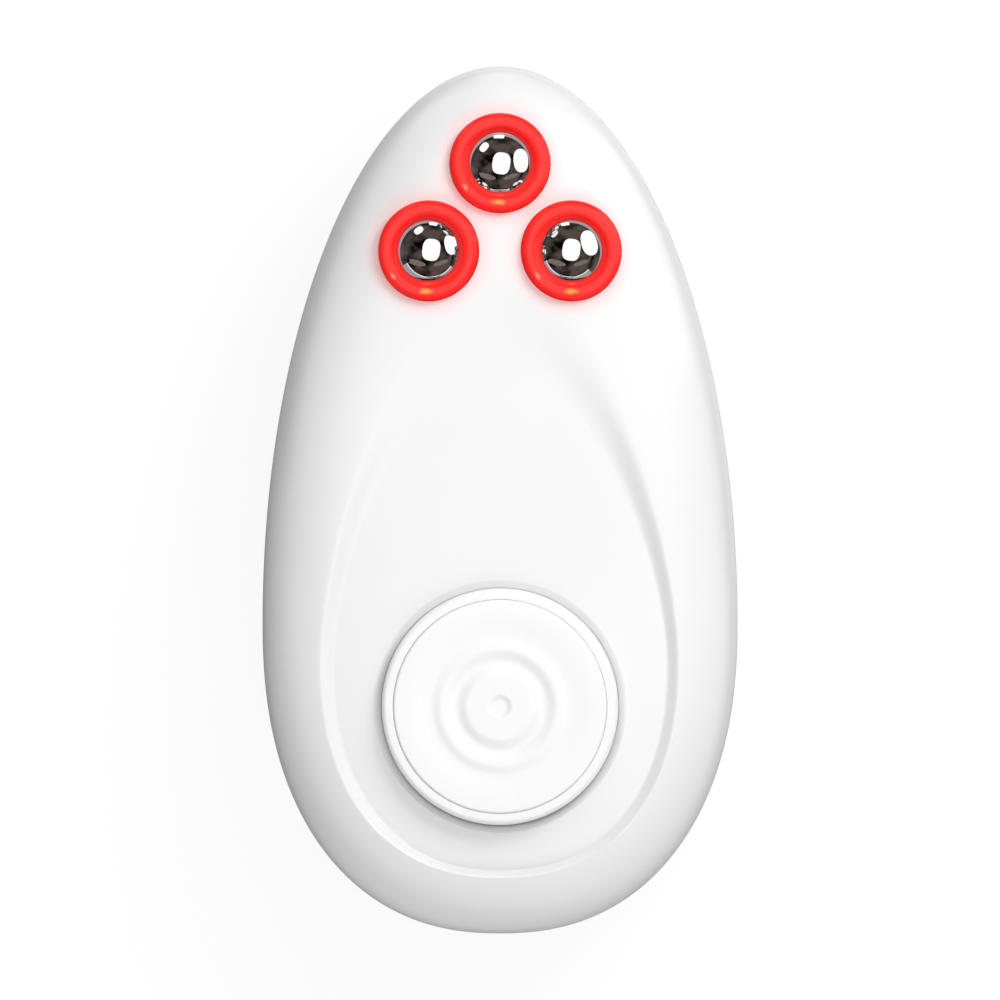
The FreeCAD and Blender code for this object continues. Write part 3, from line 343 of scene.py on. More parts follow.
def redAcrylic():
    # clear red acrylic, glowing as the lamps below light it, with painted light and shade across its face:
    # brighter on its crown, deeper red towards its inner and outer edges, and painted highlights added on
    # top
    material, tree = newMaterial("redAcrylicLit")
    across = addNode(tree, "ShaderNodeAttribute", attribute_name="acrossRing").outputs["Fac"]
    coords = addNode(tree, "ShaderNodeTexCoord").outputs["Object"]
    swirl = addNode(tree, "ShaderNodeTexNoise", {"Vector": coords, "Scale": 1 / (2.5 * mm), "Detail": 2.0})
    shifted = addNode(tree, "ShaderNodeMath", {0: swirl.outputs["Fac"], 1: 0.06, 2: across},
                      operation="MULTIPLY_ADD")
    # painted light and shade across the ring: dark red at the lip, brightest on the crown, deeper again at
    # the outer edge
    tone = addNode(tree, "ShaderNodeValToRGB", {"Fac": shifted.outputs["Value"]})
    setRamp(tone, [(0.0, "CE0C0B"), (0.22, "E01A18"), (0.42, "F62C28"), (0.75, "F8322E"),
                   (1.0, "E2201E")])
    rough = addNode(tree, "ShaderNodeMapRange",
                    {"Value": swirl.outputs["Fac"], "To Min": 0.1, "To Max": 0.16})
    shader = addNode(tree, "ShaderNodeBsdfPrincipled",
                     {"Base Color": tone.outputs["Color"], "Roughness": rough.outputs["Result"],
                      "IOR": 1.49, "Subsurface Weight": 0.2,
                      "Subsurface Radius": (1.5 * mm, 0.2 * mm, 0.2 * mm),
                      "Subsurface Scale": 1.0, "Specular IOR Level": 0.3,
                      "Emission Color": tone.outputs["Color"], "Emission Strength": 0.3})
    lit = shader.outputs["BSDF"]
    ragged = addNode(tree, "ShaderNodeTexNoise",
                     {"Vector": coords, "Scale": 1 / (0.35 * mm), "Detail": 1.0})
    edge = addNode(tree, "ShaderNodeMapRange",
                   {"Value": ragged.outputs["Fac"], "From Min": 0.3, "From Max": 0.7,
                    "To Min": 0.75, "To Max": 1.15})
    # painted highlights: warm and pale spots glow at the same places on every ring, with ragged edges
    for spot in paintedRingHighlights:
        near = None
        turn = math.radians(spot["turn"])
        outward = Vector((math.cos(turn), math.sin(turn), 0))
        along = Vector((-outward.y, outward.x, 0))
        for place in siteFrames.values():
            middle = place @ (outward * spot["radius"] + Vector((0, 0, 1)))
            away = addNode(tree, "ShaderNodeVectorMath", {0: coords, 1: tuple(middle * mm)},
                           operation="SUBTRACT")
            parts = [addNode(tree, "ShaderNodeVectorMath",
                             {0: away.outputs[0], 1: tuple(place.to_3x3() @ way / (half * mm))},
                             operation="DOT_PRODUCT").outputs["Value"]
                     for way, half in zip((along, outward), spot["half"])]
            flat = addNode(tree, "ShaderNodeCombineXYZ", {"X": parts[0], "Y": parts[1]})
            gap = addNode(tree, "ShaderNodeVectorMath", {0: flat.outputs[0]}, operation="LENGTH")
            fade = addNode(tree, "ShaderNodeMapRange",
                           {"Value": gap.outputs["Value"], "From Min": 0.0, "From Max": edge.outputs[0],
                            "To Min": 1.0, "To Max": 0.0},
                           interpolation_type="SMOOTHSTEP").outputs["Result"]
            near = fade if near is None else addNode(
                tree, "ShaderNodeMath", {0: near, 1: fade}, operation="MAXIMUM").outputs["Value"]
        strength = addNode(tree, "ShaderNodeMath", {0: near, 1: spot["strength"]}, operation="MULTIPLY")
        paintedHighlight = addNode(tree, "ShaderNodeEmission", {"Color": colour(spot["tone"]),
                                                   "Strength": strength.outputs["Value"]})
        lit = addNode(tree, "ShaderNodeAddShader", {0: lit, 1: paintedHighlight.outputs[0]}).outputs[0]
    addNode(tree, "ShaderNodeOutputMaterial", {"Surface": lit})
    return material


def polishedChrome():
    # polished chrome steel: a mirror with the faintest hairlines
    material, tree = newMaterial("polishedChromeSteel")
    coords = addNode(tree, "ShaderNodeTexCoord").outputs["Object"]
    hairs = addNode(tree, "ShaderNodeTexNoise", {"Vector": coords, "Scale": 1 / (0.5 * mm), "Detail": 4.0,
                                                 "Distortion": 1.5})
    rough = addNode(tree, "ShaderNodeMapRange",
                    {"Value": hairs.outputs["Fac"], "To Min": 0.01, "To Max": 0.05})
    shader = addNode(tree, "ShaderNodeBsdfPrincipled",
                     {"Base Color": colour("EDEBEA"), "Metallic": 1.0,
                      "Roughness": rough.outputs["Result"]})
    addNode(tree, "ShaderNodeOutputMaterial", {"Surface": shader.outputs["BSDF"]})
    return material


# pieces inside and small fittings: name, two tones, roughness, metallic, pattern size in mm, stretch
innerFinishes = {
    "acetalCup": ("DDDCD6", "CFCEC8", 0.45, 0.0, 0.6, (1, 1, 1)),
    "greenSolderMask": ("0E5A2C", "0A4722", 0.35, 0.0, 1.2, (1, 6, 1)),
    "redLampEpoxy": ("E22420", "B01412", 0.15, 0.0, 0.5, (1, 1, 1)),
    "blackMoulding": ("1C1C1D", "101011", 0.5, 0.0, 0.4, (1, 1, 1)),
    "ferriteGrey": ("4A4A4C", "37373A", 0.7, 0.0, 0.3, (1, 1, 1)),
    "platedSheetSteel": ("C9C9C8", "AFAFAE", 0.28, 1.0, 0.5, (1, 8, 1)),
    "zincPlatedScrew": ("B9BABB", "98999A", 0.32, 1.0, 0.3, (1, 1, 4)),
    "sinteredWeight": ("8B8A88", "6F6E6C", 0.5, 1.0, 0.25, (1, 1, 1)),
    "tinnedBrass": ("CBA95C", "B08D44", 0.3, 1.0, 0.3, (1, 1, 1)),
    "foilPouch": ("C4C4C6", "AEAEB0", 0.35, 1.0, 1.5, (1, 3, 1)),
    "blackFoam": ("2A2A2B", "161617", 0.9, 0.0, 0.35, (1, 1, 1)),
    "softRubber": ("242425", "1A1A1B", 0.7, 0.0, 0.5, (1, 1, 1)),
    "whiteRubber": ("E9E9E6", "DEDEDA", 0.55, 0.0, 0.5, (1, 1, 1)),
}


def innerMaterial(name):
    lightTone, darkTone, roughness, metallic, size, stretch = innerFinishes[name]
    material, tree = newMaterial(name)
    coords = addNode(tree, "ShaderNodeTexCoord").outputs["Object"]
    mapped = addNode(tree, "ShaderNodeMapping", {"Vector": coords, "Scale": stretch})
    speck = addNode(tree, "ShaderNodeTexNoise",
                    {"Vector": mapped.outputs["Vector"], "Scale": 1 / (size * mm), "Detail": 3.0})
    tone = addNode(tree, "ShaderNodeValToRGB", {"Fac": speck.outputs["Fac"]})
    setRamp(tone, [(0.35, darkTone), (0.65, lightTone)])
    rough = addNode(tree, "ShaderNodeMapRange",
                    {"Value": speck.outputs["Fac"], "To Min": roughness - 0.06,
                     "To Max": roughness + 0.06})
    dents = addNode(tree, "ShaderNodeBump", {"Height": speck.outputs["Fac"], "Strength": 0.15,
                                             "Distance": size * 0.1 * mm})
    shader = addNode(tree, "ShaderNodeBsdfPrincipled",
                     {"Base Color": tone.outputs["Color"], "Roughness": rough.outputs["Result"],
                      "Metallic": metallic, "Normal": dents.outputs["Normal"]})
    addNode(tree, "ShaderNodeOutputMaterial", {"Surface": shader.outputs["BSDF"]})
    return material


shellAbs = whiteAbs("whiteAbsShell", "F7F7F7", "F5F5F5", 0.3, True)
rearAbs = whiteAbs("whiteAbsRear", "F7F7F7", "F5F5F5", 0.34, False)
buttonAbs = whiteAbs("whiteAbsButton", "FDFDFD", "FBFBFB", 0.26, False)
ringAcrylic = redAcrylic()
ballChrome = polishedChrome()
inner = {name: innerMaterial(name) for name in innerFinishes}
print("materials made")

# Front shell: dome, recessed panel, button opening and three ring openings

frontPanel = {
    "halfWidth": 20.55,
    "wideY": -18.5,
    "nose": 46.0,
    "tail": 24.9,
    "nosePower": 1.62,
    "tailPower": 2.28,
    "sideSlope": 1.35,
    "noseSlope": 11.0,
    "tailSlope": 0.9,
    "depth": 1.0,
    "runOutFrom": 2.0,
    "runOut": 0.4,
    "deepFrom": -18.0,
    "deepTo": -34.0,
    "deeper": 0.25,
    "buttonY": -23.7,
    "moatRadius": 14.5,
    "moatNoseDepth": 0.4,
    "moatTailDepth": 1.35,
    "openingRadius": 13.64,
    "seat": 25.2,
    "ringHoleRadius": 5.83,
    "edgeRound": 0.12,
    "moatPower": 1.5,
    "moatLap": 0.5,
    "softPower": 1.2,
}
# rows of the front's mesh
frontRows = {"edge": 40, "shoulder": 16, "slope": 24, "floor": 20, "bevel": 9}


def domeLine(line, drop=0.0):
    return [(x, y, domeHeight(x, y) - drop) for x, y in line]


def flatLine(line, height):
    return [(x, y, height) for x, y in line]


def ease(value, start, end):
    return smooth(min(1.0, max(0.0, (value - start) / (end - start))))


def recessDepth(y):
    # running out towards the balls, a little deeper towards the tail
    p = frontPanel
    noseEase = ease(y, p["runOutFrom"], p["wideY"] + p["nose"])
    tailEase = ease(y, p["deepFrom"], p["deepTo"])
    return p["depth"] * (1 - p["runOut"] * noseEase + p["deeper"] * tailEase)


def recessFloor(line, drop=0.0):
    return [(x, y, domeHeight(x, y) - recessDepth(y) - drop) for x, y in line]


def frontSkin():
    f, p, n = bodyForm, frontPanel, frontRows
    rows = [flatLine(bodyEgg(p["edgeRound"]), f["partingHeight"])]
    edge = evenShares(f["frontPower"], f["frontRise"], 0.9, n["edge"])
    for share in edge:
        height = f["partingHeight"] + max(f["frontRise"] * bulge(share, f["frontPower"]), p["edgeRound"])
        if len(rows) == 1 or height > rows[-1][0][2] + 1e-6:
            rows.append(flatLine(bodyEgg(0.0, share), height))
    outer = bodyEgg(0.0, edge[-1])
    rim = eggLine(p["halfWidth"], p["nose"], p["tail"], p["wideY"], p["nosePower"], p["tailPower"])
    foot = eggLine(p["halfWidth"] - p["sideSlope"], p["nose"] - p["noseSlope"],
                   p["tail"] - p["tailSlope"], p["wideY"], p["nosePower"], p["tailPower"])
    rows += [domeLine(mixLines(outer, rim, i / n["shoulder"])) for i in range(1, n["shoulder"] + 1)]
    # the step of the recess has crisp edges round the button and soft ones towards the balls
    count = len(rim)
    soft = [max(0.0, math.sin(2 * math.pi * i / count)) ** p["softPower"] for i in range(count)]
    for i in range(1, n["slope"] + 1):
        along = i / n["slope"]
        crisp, gentle = (along + smooth(along)) / 2, smooth(along)
        rows.append([(x, y, domeHeight(x, y) - recessDepth(y) * (crisp + (gentle - crisp) * part))
                     for (x, y), part in zip(mixLines(rim, foot, along), soft)])
    hole = buttonCircle(p["moatRadius"])
    rows += [recessFloor(mixLines(foot, hole, i / n["floor"])) for i in range(1, n["floor"] + 1)]
    return skin("frontSkin", rows, False)


def buttonCircle(radius):
    return eggLine(radius, radius, radius, frontPanel["buttonY"], 2.0, 2.0)


def moatRing():
    # the step in the shell that carries the bezel, bevelled down from the recess, deeper at the tail
    p = frontPanel
    radii = (p["openingRadius"], p["moatRadius"], p["moatRadius"] + p["moatLap"])
    inside, shoulder, outside = [buttonCircle(radius) for radius in radii]
    bevel = []
    for i in range(frontRows["bevel"] + 1):
        along = i / frontRows["bevel"]
        row = []
        for x, y in mixLines(shoulder, inside, along):
            tailward = 0.5 - 0.5 * (y - p["buttonY"]) / math.hypot(x, y - p["buttonY"])
            deep = p["moatNoseDepth"] + (p["moatTailDepth"] - p["moatNoseDepth"]) * tailward
            drop = recessDepth(y) + deep * along ** p["moatPower"] + 0.01
            row.append((x, y, domeHeight(x, y) - drop))
        bevel.append(row)
    under = [flatLine(inside, p["seat"]), flatLine(outside, p["seat"]), recessFloor(outside, 0.3)]
    return skin("moatRing", bevel + under + [bevel[0]], False)


def joined(first, second):
    bm = bmesh.new()
    bm.from_mesh(first)
    bm.from_mesh(second)
    bm.to_mesh(first)
    bm.free()
    return first


def cutter(mesh):
    tool = bpy.data.objects.new("cutter", mesh)
    scene.collection.objects.link(tool)
    tool.hide_render = True
    return tool


def shellWithHoles(name, mesh, tools):
    def setUp(holder):
        wall = holder.modifiers.new("wall", "SOLIDIFY")
        wall.thickness = bodyForm["wall"] * mm
        wall.offset = -1
        for tool in tools:
            cut = holder.modifiers.new("cut", "BOOLEAN")
            cut.operation = "DIFFERENCE"
            cut.solver = "EXACT"
            cut.object = tool
    result = applied(name, mesh, setUp)
    for tool in tools:
        bpy.data.objects.remove(tool)
    smoothShade(result)
    return result


holeTools = []
ringHole = frontPanel["ringHoleRadius"]
for place in siteFrames.values():
    rod = lathe([(0, -6), (ringHole, -6), (ringHole, 3), (0, 3)], 160, False, place=place)
    finishMesh(rod)
    holeTools.append(cutter(rod))
frontMesh = joined(shellWithHoles("frontShell", frontSkin(), holeTools), moatRing())
finishMesh(frontMesh)
frontCover = newPiece("frontCover", frontMesh, shellAbs, "case", ["front_shell"])
frontCover.visible_glossy = False
print("front cover:", len(frontMesh.polygons), "faces")

# Rear shell: tub with a flat base, screw wells and the charging window

rearDetail = {
    "wellRadius": 2.35,
    "noseScrew": (18.6, 2.0),
    "tailScrew": (13.2, -37.6),
    "windowHalf": (4.7, 1.85),
    "windowHeight": 11.8,
    "windowReach": (-53, -44),
}
screwPlaces = [(side * x, y) for x, y in (rearDetail["noseScrew"], rearDetail["tailScrew"])
               for side in (-1, 1)]


def rearHeight(x, y):
    f = bodyForm
    level = bulge(max(eggShare(x, y), f["baseShare"]), f["rearPower"])
    return f["partingHeight"] * (1 - level / bulge(f["baseShare"], f["rearPower"]))


def rearSkin():
    f = bodyForm
    top = f["partingHeight"]
    depth = top / bulge(f["baseShare"], f["rearPower"])
    rows = [flatLine(bodyEgg(0.9), top), flatLine(bodyEgg(f["groove"]), top),
            flatLine(bodyEgg(f["groove"]), top - f["groove"]),
            flatLine(bodyEgg(0.08), top - f["groove"])]
    for share in evenShares(f["rearPower"], depth, f["baseShare"], 64):
        height = top - depth * bulge(share, f["rearPower"])
        if height < top - f["groove"] - 0.05:
            rows.append(flatLine(bodyEgg(0.0, share), max(height, 0.0)))
    base = rows[-1]
    for share in (0.98, 0.9, 0.7, 0.45, 0.2):
        rows.append([(x * share, f["wideY"] + (y - f["wideY"]) * share, 0.0) for x, y, z in base])
    return skin("rearSkin", rows, True)


def windowTool():
    halfX, halfZ = rearDetail["windowHalf"]
    corner = halfZ - 0.25
    outline = []
    for quarter, (sideX, sideZ) in enumerate(((1, 1), (-1, 1), (-1, -1), (1, -1))):
        middle = (sideX * (halfX - corner), sideZ * (halfZ - corner))
        outline += arc(middle, corner, 90 * quarter, 90 * quarter + 90, 10)
    start, end = rearDetail["windowReach"]
    near = [(x * mm, start * mm, (rearDetail["windowHeight"] + z) * mm) for x, z in outline]
    far = [(x, end * mm, z) for x, y, z in near]
    count = len(near)
    faces = [tuple(range(count)), tuple(range(2 * count - 1, count - 1, -1))]
    faces += [(i, (i + 1) % count, count + (i + 1) % count, count + i) for i in range(count)]
    return cutter(meshFrom("window", near + far, faces))


wellTools = [windowTool()]
wellRadius = rearDetail["wellRadius"]
for x, y in screwPlaces:
    well = lathe([(0, -1), (wellRadius, -1), (wellRadius, 6.5), (0, 6.5)], 96, False, middle=(x, y, 0))
    finishMesh(well)
    wellTools.append(cutter(well))
rearMesh = shellWithHoles("rearShell", rearSkin(), wellTools)
newPiece("rearTub", rearMesh, rearAbs, "case", ["rear_shell"])
print("rear tub:", len(rearMesh.polygons), "faces")

# Light rings and balls

ringForm = {
    "outerRadius": 5.8,
    "crestRadius": 4.9,
    "crest": 1.1,
    "mouthRadius": 4.05,
    "mouthHeight": 0.85,
    "lipRadius": 3.45,
    "lipHeight": 0.4,
    "ballRoom": 4.1,
    "skirtRadius": 4.9,
    "skirtDepth": 5.6,
    "seatDepth": 0.8,
}
ballRadius = 4.0
ballCentre = ringForm["lipHeight"] - math.sqrt(ringForm["ballRoom"] ** 2 - ringForm["lipRadius"] ** 2)


def ringProfile():
    r = ringForm
    crestRound = r["outerRadius"] - r["crestRadius"]
    slopeWidth = r["crestRadius"] - r["mouthRadius"]
    slopeDrop = r["crest"] - r["mouthHeight"]
    slopeRound = (slopeWidth ** 2 + slopeDrop ** 2) / (2 * slopeDrop)
    slopeAngle = math.degrees(math.asin(slopeWidth / slopeRound))
    outer = arc((r["crestRadius"], r["crest"] - crestRound), crestRound, 0, 90, 18)
    inside = arc((r["crestRadius"], r["crest"] - slopeRound), slopeRound, 90, 90 + slopeAngle, 12)[1:]
    funnel = [(r["mouthRadius"] + (r["lipRadius"] - r["mouthRadius"]) * i / 6,
               r["mouthHeight"] + (r["lipHeight"] - r["mouthHeight"]) * i / 6) for i in range(1, 7)]
    startAngle = math.degrees(math.asin((r["lipHeight"] - ballCentre) / r["ballRoom"]))
    seat = arc((0, ballCentre), r["ballRoom"], startAngle, 0, 14)[1:]
    visible = outer + inside + funnel
    hidden = seat + [(r["ballRoom"], -r["skirtDepth"]), (r["skirtRadius"], -r["skirtDepth"]),
                     (r["skirtRadius"], -r["seatDepth"]), (r["outerRadius"], -r["seatDepth"])]
    span = r["outerRadius"] - r["lipRadius"]
    shares = [(radius - r["lipRadius"]) / span for radius, height in visible]
    shares += [0.0] * len(hidden)
    return visible + hidden, shares


profile, shares = ringProfile()
halfCircle = arc((0, 0), ballRadius, 90, -90, 72)
halfCircle[0], halfCircle[-1] = (0.0, ballRadius), (0.0, -ballRadius)
for site, place in siteFrames.items():
    ringMesh = lathe(profile, 144, True, place=place, shares=shares)
    finishMesh(ringMesh, 32)
    ringPiece = newPiece("lightRing." + site, ringMesh, ringAcrylic, "case",
                         ["light_ring_" + site])
    ringPiece.visible_glossy = False
    ballMesh = lathe(halfCircle, 128, False, place=place @ Matrix.Translation((0, 0, ballCentre)))
    finishMesh(ballMesh, 80)
    newPiece("rollerBall." + site, ballMesh, ballChrome, "ball_" + site,
             ["roller_ball_" + site])
print("rings and balls made")

# Button: bezel, and a cap whose ripples follow a rule

buttonForm = {
    "seat": 25.2,
    "bezelRadius": 13.6,
    "bezelInner": 12.3,
    "bezelTop": 3.9,
    "bezelRound": 0.6,
    "bezelInnerRound": 0.04,
    "flangeRadius": 15.2,
    "flange": 1.2,
    "roofDrop": 0.2,
    "lipRoom": 13.2,
    "capRadius": 12.27,
    "capTop": 4.1,
    "capRound": 0.3,
    "capThickness": 1.8,
    "capSkirt": 1.5,
    "lipRadius": 13.1,
    "lipTop": -0.3,
    "lipThickness": 0.8,
    "postRadius": 2.1,
    "postBottom": -5.4,
}
ripples = [
    # inner crest, trough, outer crest, depth in mm
    {"from": -6.0, "trough": 0.7, "to": 1.5, "depth": 0.22},
    {"from": 3.6, "trough": 5.1, "to": 6.7, "depth": 0.32},
    {"from": 6.7, "trough": 7.95, "to": 10.8, "depth": 0.2},
]


def bezelMesh():
    b = buttonForm
    edge = b["bezelRound"]
    outer = arc((b["bezelRadius"] - edge, b["bezelTop"] - edge), edge, 0, 90, 10)
    bead = b["bezelInnerRound"]
    inside = arc((b["bezelInner"] + bead, b["bezelTop"] - bead), bead, 90, 180, 8)
    line = [(b["lipRoom"], -b["flange"]), (b["flangeRadius"], -b["flange"]), (b["flangeRadius"], 0),
            (b["bezelRadius"], 0)] + outer + inside
    line += [(b["bezelInner"], -b["roofDrop"]), (b["lipRoom"], -b["roofDrop"])]
    mesh = lathe(line, 192, True, middle=(0, frontPanel["buttonY"], b["seat"]))
    finishMesh(mesh)
    return mesh


def flatCapMesh():
    b = buttonForm
    edge = b["capRound"]
    top = [(0.1 * i, b["capTop"]) for i in range(int((b["capRadius"] - edge) * 10))]
    rounded = arc((b["capRadius"] - edge, b["capTop"] - edge), edge, 90, 0, 10)
    lipBottom = b["lipTop"] - b["lipThickness"]
    under = b["capTop"] - b["capThickness"]
    inside = b["capRadius"] - b["capSkirt"]
    line = top + rounded + [(b["capRadius"], b["lipTop"]), (b["lipRadius"], b["lipTop"]),
                            (b["lipRadius"], lipBottom), (inside, lipBottom), (inside, under),
                            (b["postRadius"], under), (b["postRadius"], b["postBottom"]),
                            (0, b["postBottom"])]
    mesh = lathe(line, 192, False, middle=(0, frontPanel["buttonY"], b["seat"]))
    finishMesh(mesh)
    return mesh


def rippleTree(material):
    tree = bpy.data.node_groups.new("capRipples", "GeometryNodeTree")
    tree.interface.new_socket("Geometry", in_out="INPUT", socket_type="NodeSocketGeometry")
    tree.interface.new_socket("Geometry", in_out="OUTPUT", socket_type="NodeSocketGeometry")
    sockets = {}
    for n, ripple in enumerate(ripples):
        for key in ripple:
            sockets[n, key] = tree.interface.new_socket(f"ripple {n + 1} {key}", in_out="INPUT",
                                                        socket_type="NodeSocketFloat").identifier
    middle = tree.interface.new_socket("button Y", in_out="INPUT",
                                       socket_type="NodeSocketFloat").identifier
    topLevel = tree.interface.new_socket("top level", in_out="INPUT",
                                         socket_type="NodeSocketFloat").identifier
    given = addNode(tree, "NodeGroupInput")
    value = {s.identifier: s for s in given.outputs}
    position = addNode(tree, "GeometryNodeInputPosition")
    spot = addNode(tree, "ShaderNodeSeparateXYZ", {0: position.outputs[0]})
    offY = addNode(tree, "ShaderNodeMath", {0: spot.outputs["Y"], 1: value[middle]}, operation="SUBTRACT")
    flat = addNode(tree, "ShaderNodeCombineXYZ", {"X": spot.outputs["X"], "Y": offY.outputs[0]})
    radius = addNode(tree, "ShaderNodeVectorMath", {0: flat.outputs[0]},
                     operation="LENGTH").outputs["Value"]
    total = None
    for n in range(len(ripples)):
        fall = addNode(tree, "ShaderNodeMapRange",
                       {"Value": radius, "From Min": value[sockets[n, "from"]],
                        "From Max": value[sockets[n, "trough"]]}, interpolation_type="SMOOTHSTEP")
        rise = addNode(tree, "ShaderNodeMapRange",
                       {"Value": radius, "From Min": value[sockets[n, "trough"]],
                        "From Max": value[sockets[n, "to"]], "To Min": 1.0, "To Max": 0.0},
                       interpolation_type="SMOOTHSTEP")
        both = addNode(tree, "ShaderNodeMath", {0: fall.outputs[0], 1: rise.outputs[0]},
                       operation="MULTIPLY")
        deep = addNode(tree, "ShaderNodeMath", {0: both.outputs[0], 1: value[sockets[n, "depth"]]},
                       operation="MULTIPLY").outputs[0]
        total = deep if total is None else addNode(
            tree, "ShaderNodeMath", {0: total, 1: deep}, operation="ADD").outputs[0]
    down = addNode(tree, "ShaderNodeMath", {0: total, 1: -1.0}, operation="MULTIPLY")
    offset = addNode(tree, "ShaderNodeCombineXYZ", {"Z": down.outputs[0]})
    onTop = addNode(tree, "ShaderNodeMath", {0: spot.outputs["Z"], 1: value[topLevel]},
                    operation="GREATER_THAN")
    moved = addNode(tree, "GeometryNodeSetPosition",
                    {"Geometry": given.outputs["Geometry"], "Selection": onTop.outputs[0],
                     "Offset": offset.outputs[0]})
    real = addNode(tree, "GeometryNodeRealizeInstances", {"Geometry": moved.outputs[0]})
    dressed = addNode(tree, "GeometryNodeSetMaterial", {"Geometry": real.outputs[0], "Material": material})
    addNode(tree, "NodeGroupOutput", {"Geometry": dressed.outputs[0]})
    settings = {sockets[n, key]: ripples[n][key] * mm for n, key in sockets}
    settings[middle] = frontPanel["buttonY"] * mm
    settings[topLevel] = (buttonForm["seat"] + buttonForm["capTop"] - 0.01) * mm
    return tree, settings


def rippledCap(holder):
    tree, settings = rippleTree(buttonAbs)
    waves = holder.modifiers.new("ripples", "NODES")
    waves.node_group = tree
    for identifier, amount in settings.items():
        waves[identifier] = amount


newPiece("buttonBezel", bezelMesh(), buttonAbs, "case", ["button_bezel"])
capMesh = applied("buttonCap", flatCapMesh(), rippledCap)
newPiece("buttonCap", capMesh, buttonAbs, "button", ["button_cap"])
print("button made")

# Screw plugs in the back, four alike

plugForm = {"radius": 2.3, "depth": 1.8, "round": 0.25, "sink": 0.25, "dish": 0.12}


def plugMesh():
    p = plugForm
    line = [(0, p["dish"])] + [(0.3 * i, p["dish"] * (1 - smooth(i / 6))) for i in range(1, 6)]
    line += arc((p["radius"] - p["round"], p["round"]), p["round"], 270, 360, 6)
    line += [(p["radius"], p["depth"]), (0, p["depth"])]
    mesh = lathe(line, 64, False)
    finishMesh(mesh)
    return mesh


def plugTree(material, plug):
    tree = bpy.data.node_groups.new("plugsOnPoints", "GeometryNodeTree")
    tree.interface.new_socket("Geometry", in_out="INPUT", socket_type="NodeSocketGeometry")
    plugInput = tree.interface.new_socket("plug", in_out="INPUT",
                                          socket_type="NodeSocketObject").identifier
    tree.interface.new_socket("Geometry", in_out="OUTPUT", socket_type="NodeSocketGeometry")
    given = addNode(tree, "NodeGroupInput")
    shape = addNode(tree, "GeometryNodeObjectInfo", {"Object": given.outputs["plug"]})
    spread = addNode(tree, "GeometryNodeInstanceOnPoints", {"Points": given.outputs["Geometry"],
                                                            "Instance": shape.outputs["Geometry"]})
    real = addNode(tree, "GeometryNodeRealizeInstances", {"Geometry": spread.outputs[0]})
    dressed = addNode(tree, "GeometryNodeSetMaterial", {"Geometry": real.outputs[0], "Material": material})
    addNode(tree, "NodeGroupOutput", {"Geometry": dressed.outputs[0]})
    return tree, {plugInput: plug}


def plugPoint(x, y):
    outward = Vector((x, y - bodyForm["wideY"], 0)).normalized() * plugForm["radius"]
    return (x * mm, y * mm, (rearHeight(x + outward.x, y + outward.y) + plugForm["sink"]) * mm)


plugShape = cutter(plugMesh())
plugPoints = bpy.data.meshes.new("plugPoints")
plugPoints.from_pydata([plugPoint(x, y) for x, y in screwPlaces], [], [])


def plugsOnPoints(holder):
    tree, settings = plugTree(inner["whiteRubber"], plugShape)
    copies = holder.modifiers.new("plugs", "NODES")
    copies.node_group = tree
    for identifier, amount in settings.items():
        copies[identifier] = amount


plugsMesh = applied("screwPlugs", plugPoints, plugsOnPoints)
bpy.data.objects.remove(plugShape)
smoothShade(plugsMesh, 40)
newPiece("screwPlugs", plugsMesh, inner["whiteRubber"], "case", ["screw_plugs"])
print("plugs made")

# Solids that stay as they are get their finishes

solidFinishes = {
    "acetalCup": ["ball_cup_top", "ball_cup_left", "ball_cup_right"],
    "greenSolderMask": ["led_board", "main_board"],
    "redLampEpoxy": ["red_leds"],
    "blackMoulding": ["switch_base", "switch_stem", "control_chip", "socket_tongue", "battery_guard",
                      "motor_end_cap"],
    "ferriteGrey": ["boost_coil", "small_parts"],
    "platedSheetSteel": ["switch_cover", "socket_shell", "motor_can"],
    "zincPlatedScrew": ["case_screws", "board_screws", "led_board_screws", "motor_shaft"],
    "sinteredWeight": ["eccentric_weight"],
    "tinnedBrass": ["switch_legs", "motor_terminals"],
    "foilPouch": ["battery_cell"],
    "blackFoam": ["battery_pad"],
    "softRubber": ["motor_sleeve"],
}
for finish, nodes in solidFinishes.items():
    for node in nodes:
        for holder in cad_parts[node].material_slots:
            holder.material = inner[finish]
print("solids dressed")

# Camera straight above the front face, as in the photograph

cameraForm = {"distance": 2.0, "viewWidth": 115.41, "level": 17.0}
cameraData = bpy.data.cameras.new("camera")
cameraData.sensor_width = 36.0
cameraData.lens = 36.0 * cameraForm["distance"] / (cameraForm["viewWidth"] * mm)
cameraData.clip_end = 20.0
camera = bpy.data.objects.new("camera", cameraData)
camera.location = (0, 0, cameraForm["distance"] + cameraForm["level"] * mm)
scene.collection.objects.link(camera)
scene.camera = camera

# White floor and surround; the floor keeps a trace of the shadow

floorForm = {"white": 0.87, "paper": "707070", "half": 3, "level": -0.2}
half = floorForm["half"]
floorCorners = [(-half, -half, 0), (half, -half, 0), (half, half, 0), (-half, half, 0)]
floorMesh = meshFrom("floor", floorCorners, [(0, 1, 2, 3)])
floor = bpy.data.objects.new("floor", floorMesh)
floor.location.z = floorForm["level"] * mm
scene.collection.objects.link(floor)


def seenDirectly(tree):
    # 1 for camera, glossy and transmission rays
    path = addNode(tree, "ShaderNodeLightPath")
    first = addNode(tree, "ShaderNodeMath",
                    {0: path.outputs["Is Camera Ray"], 1: path.outputs["Is Glossy Ray"]},
                    operation="MAXIMUM")
    return addNode(tree, "ShaderNodeMath", {0: first.outputs[0], 1: path.outputs["Is Transmission Ray"]},
                   operation="MAXIMUM").outputs[0]


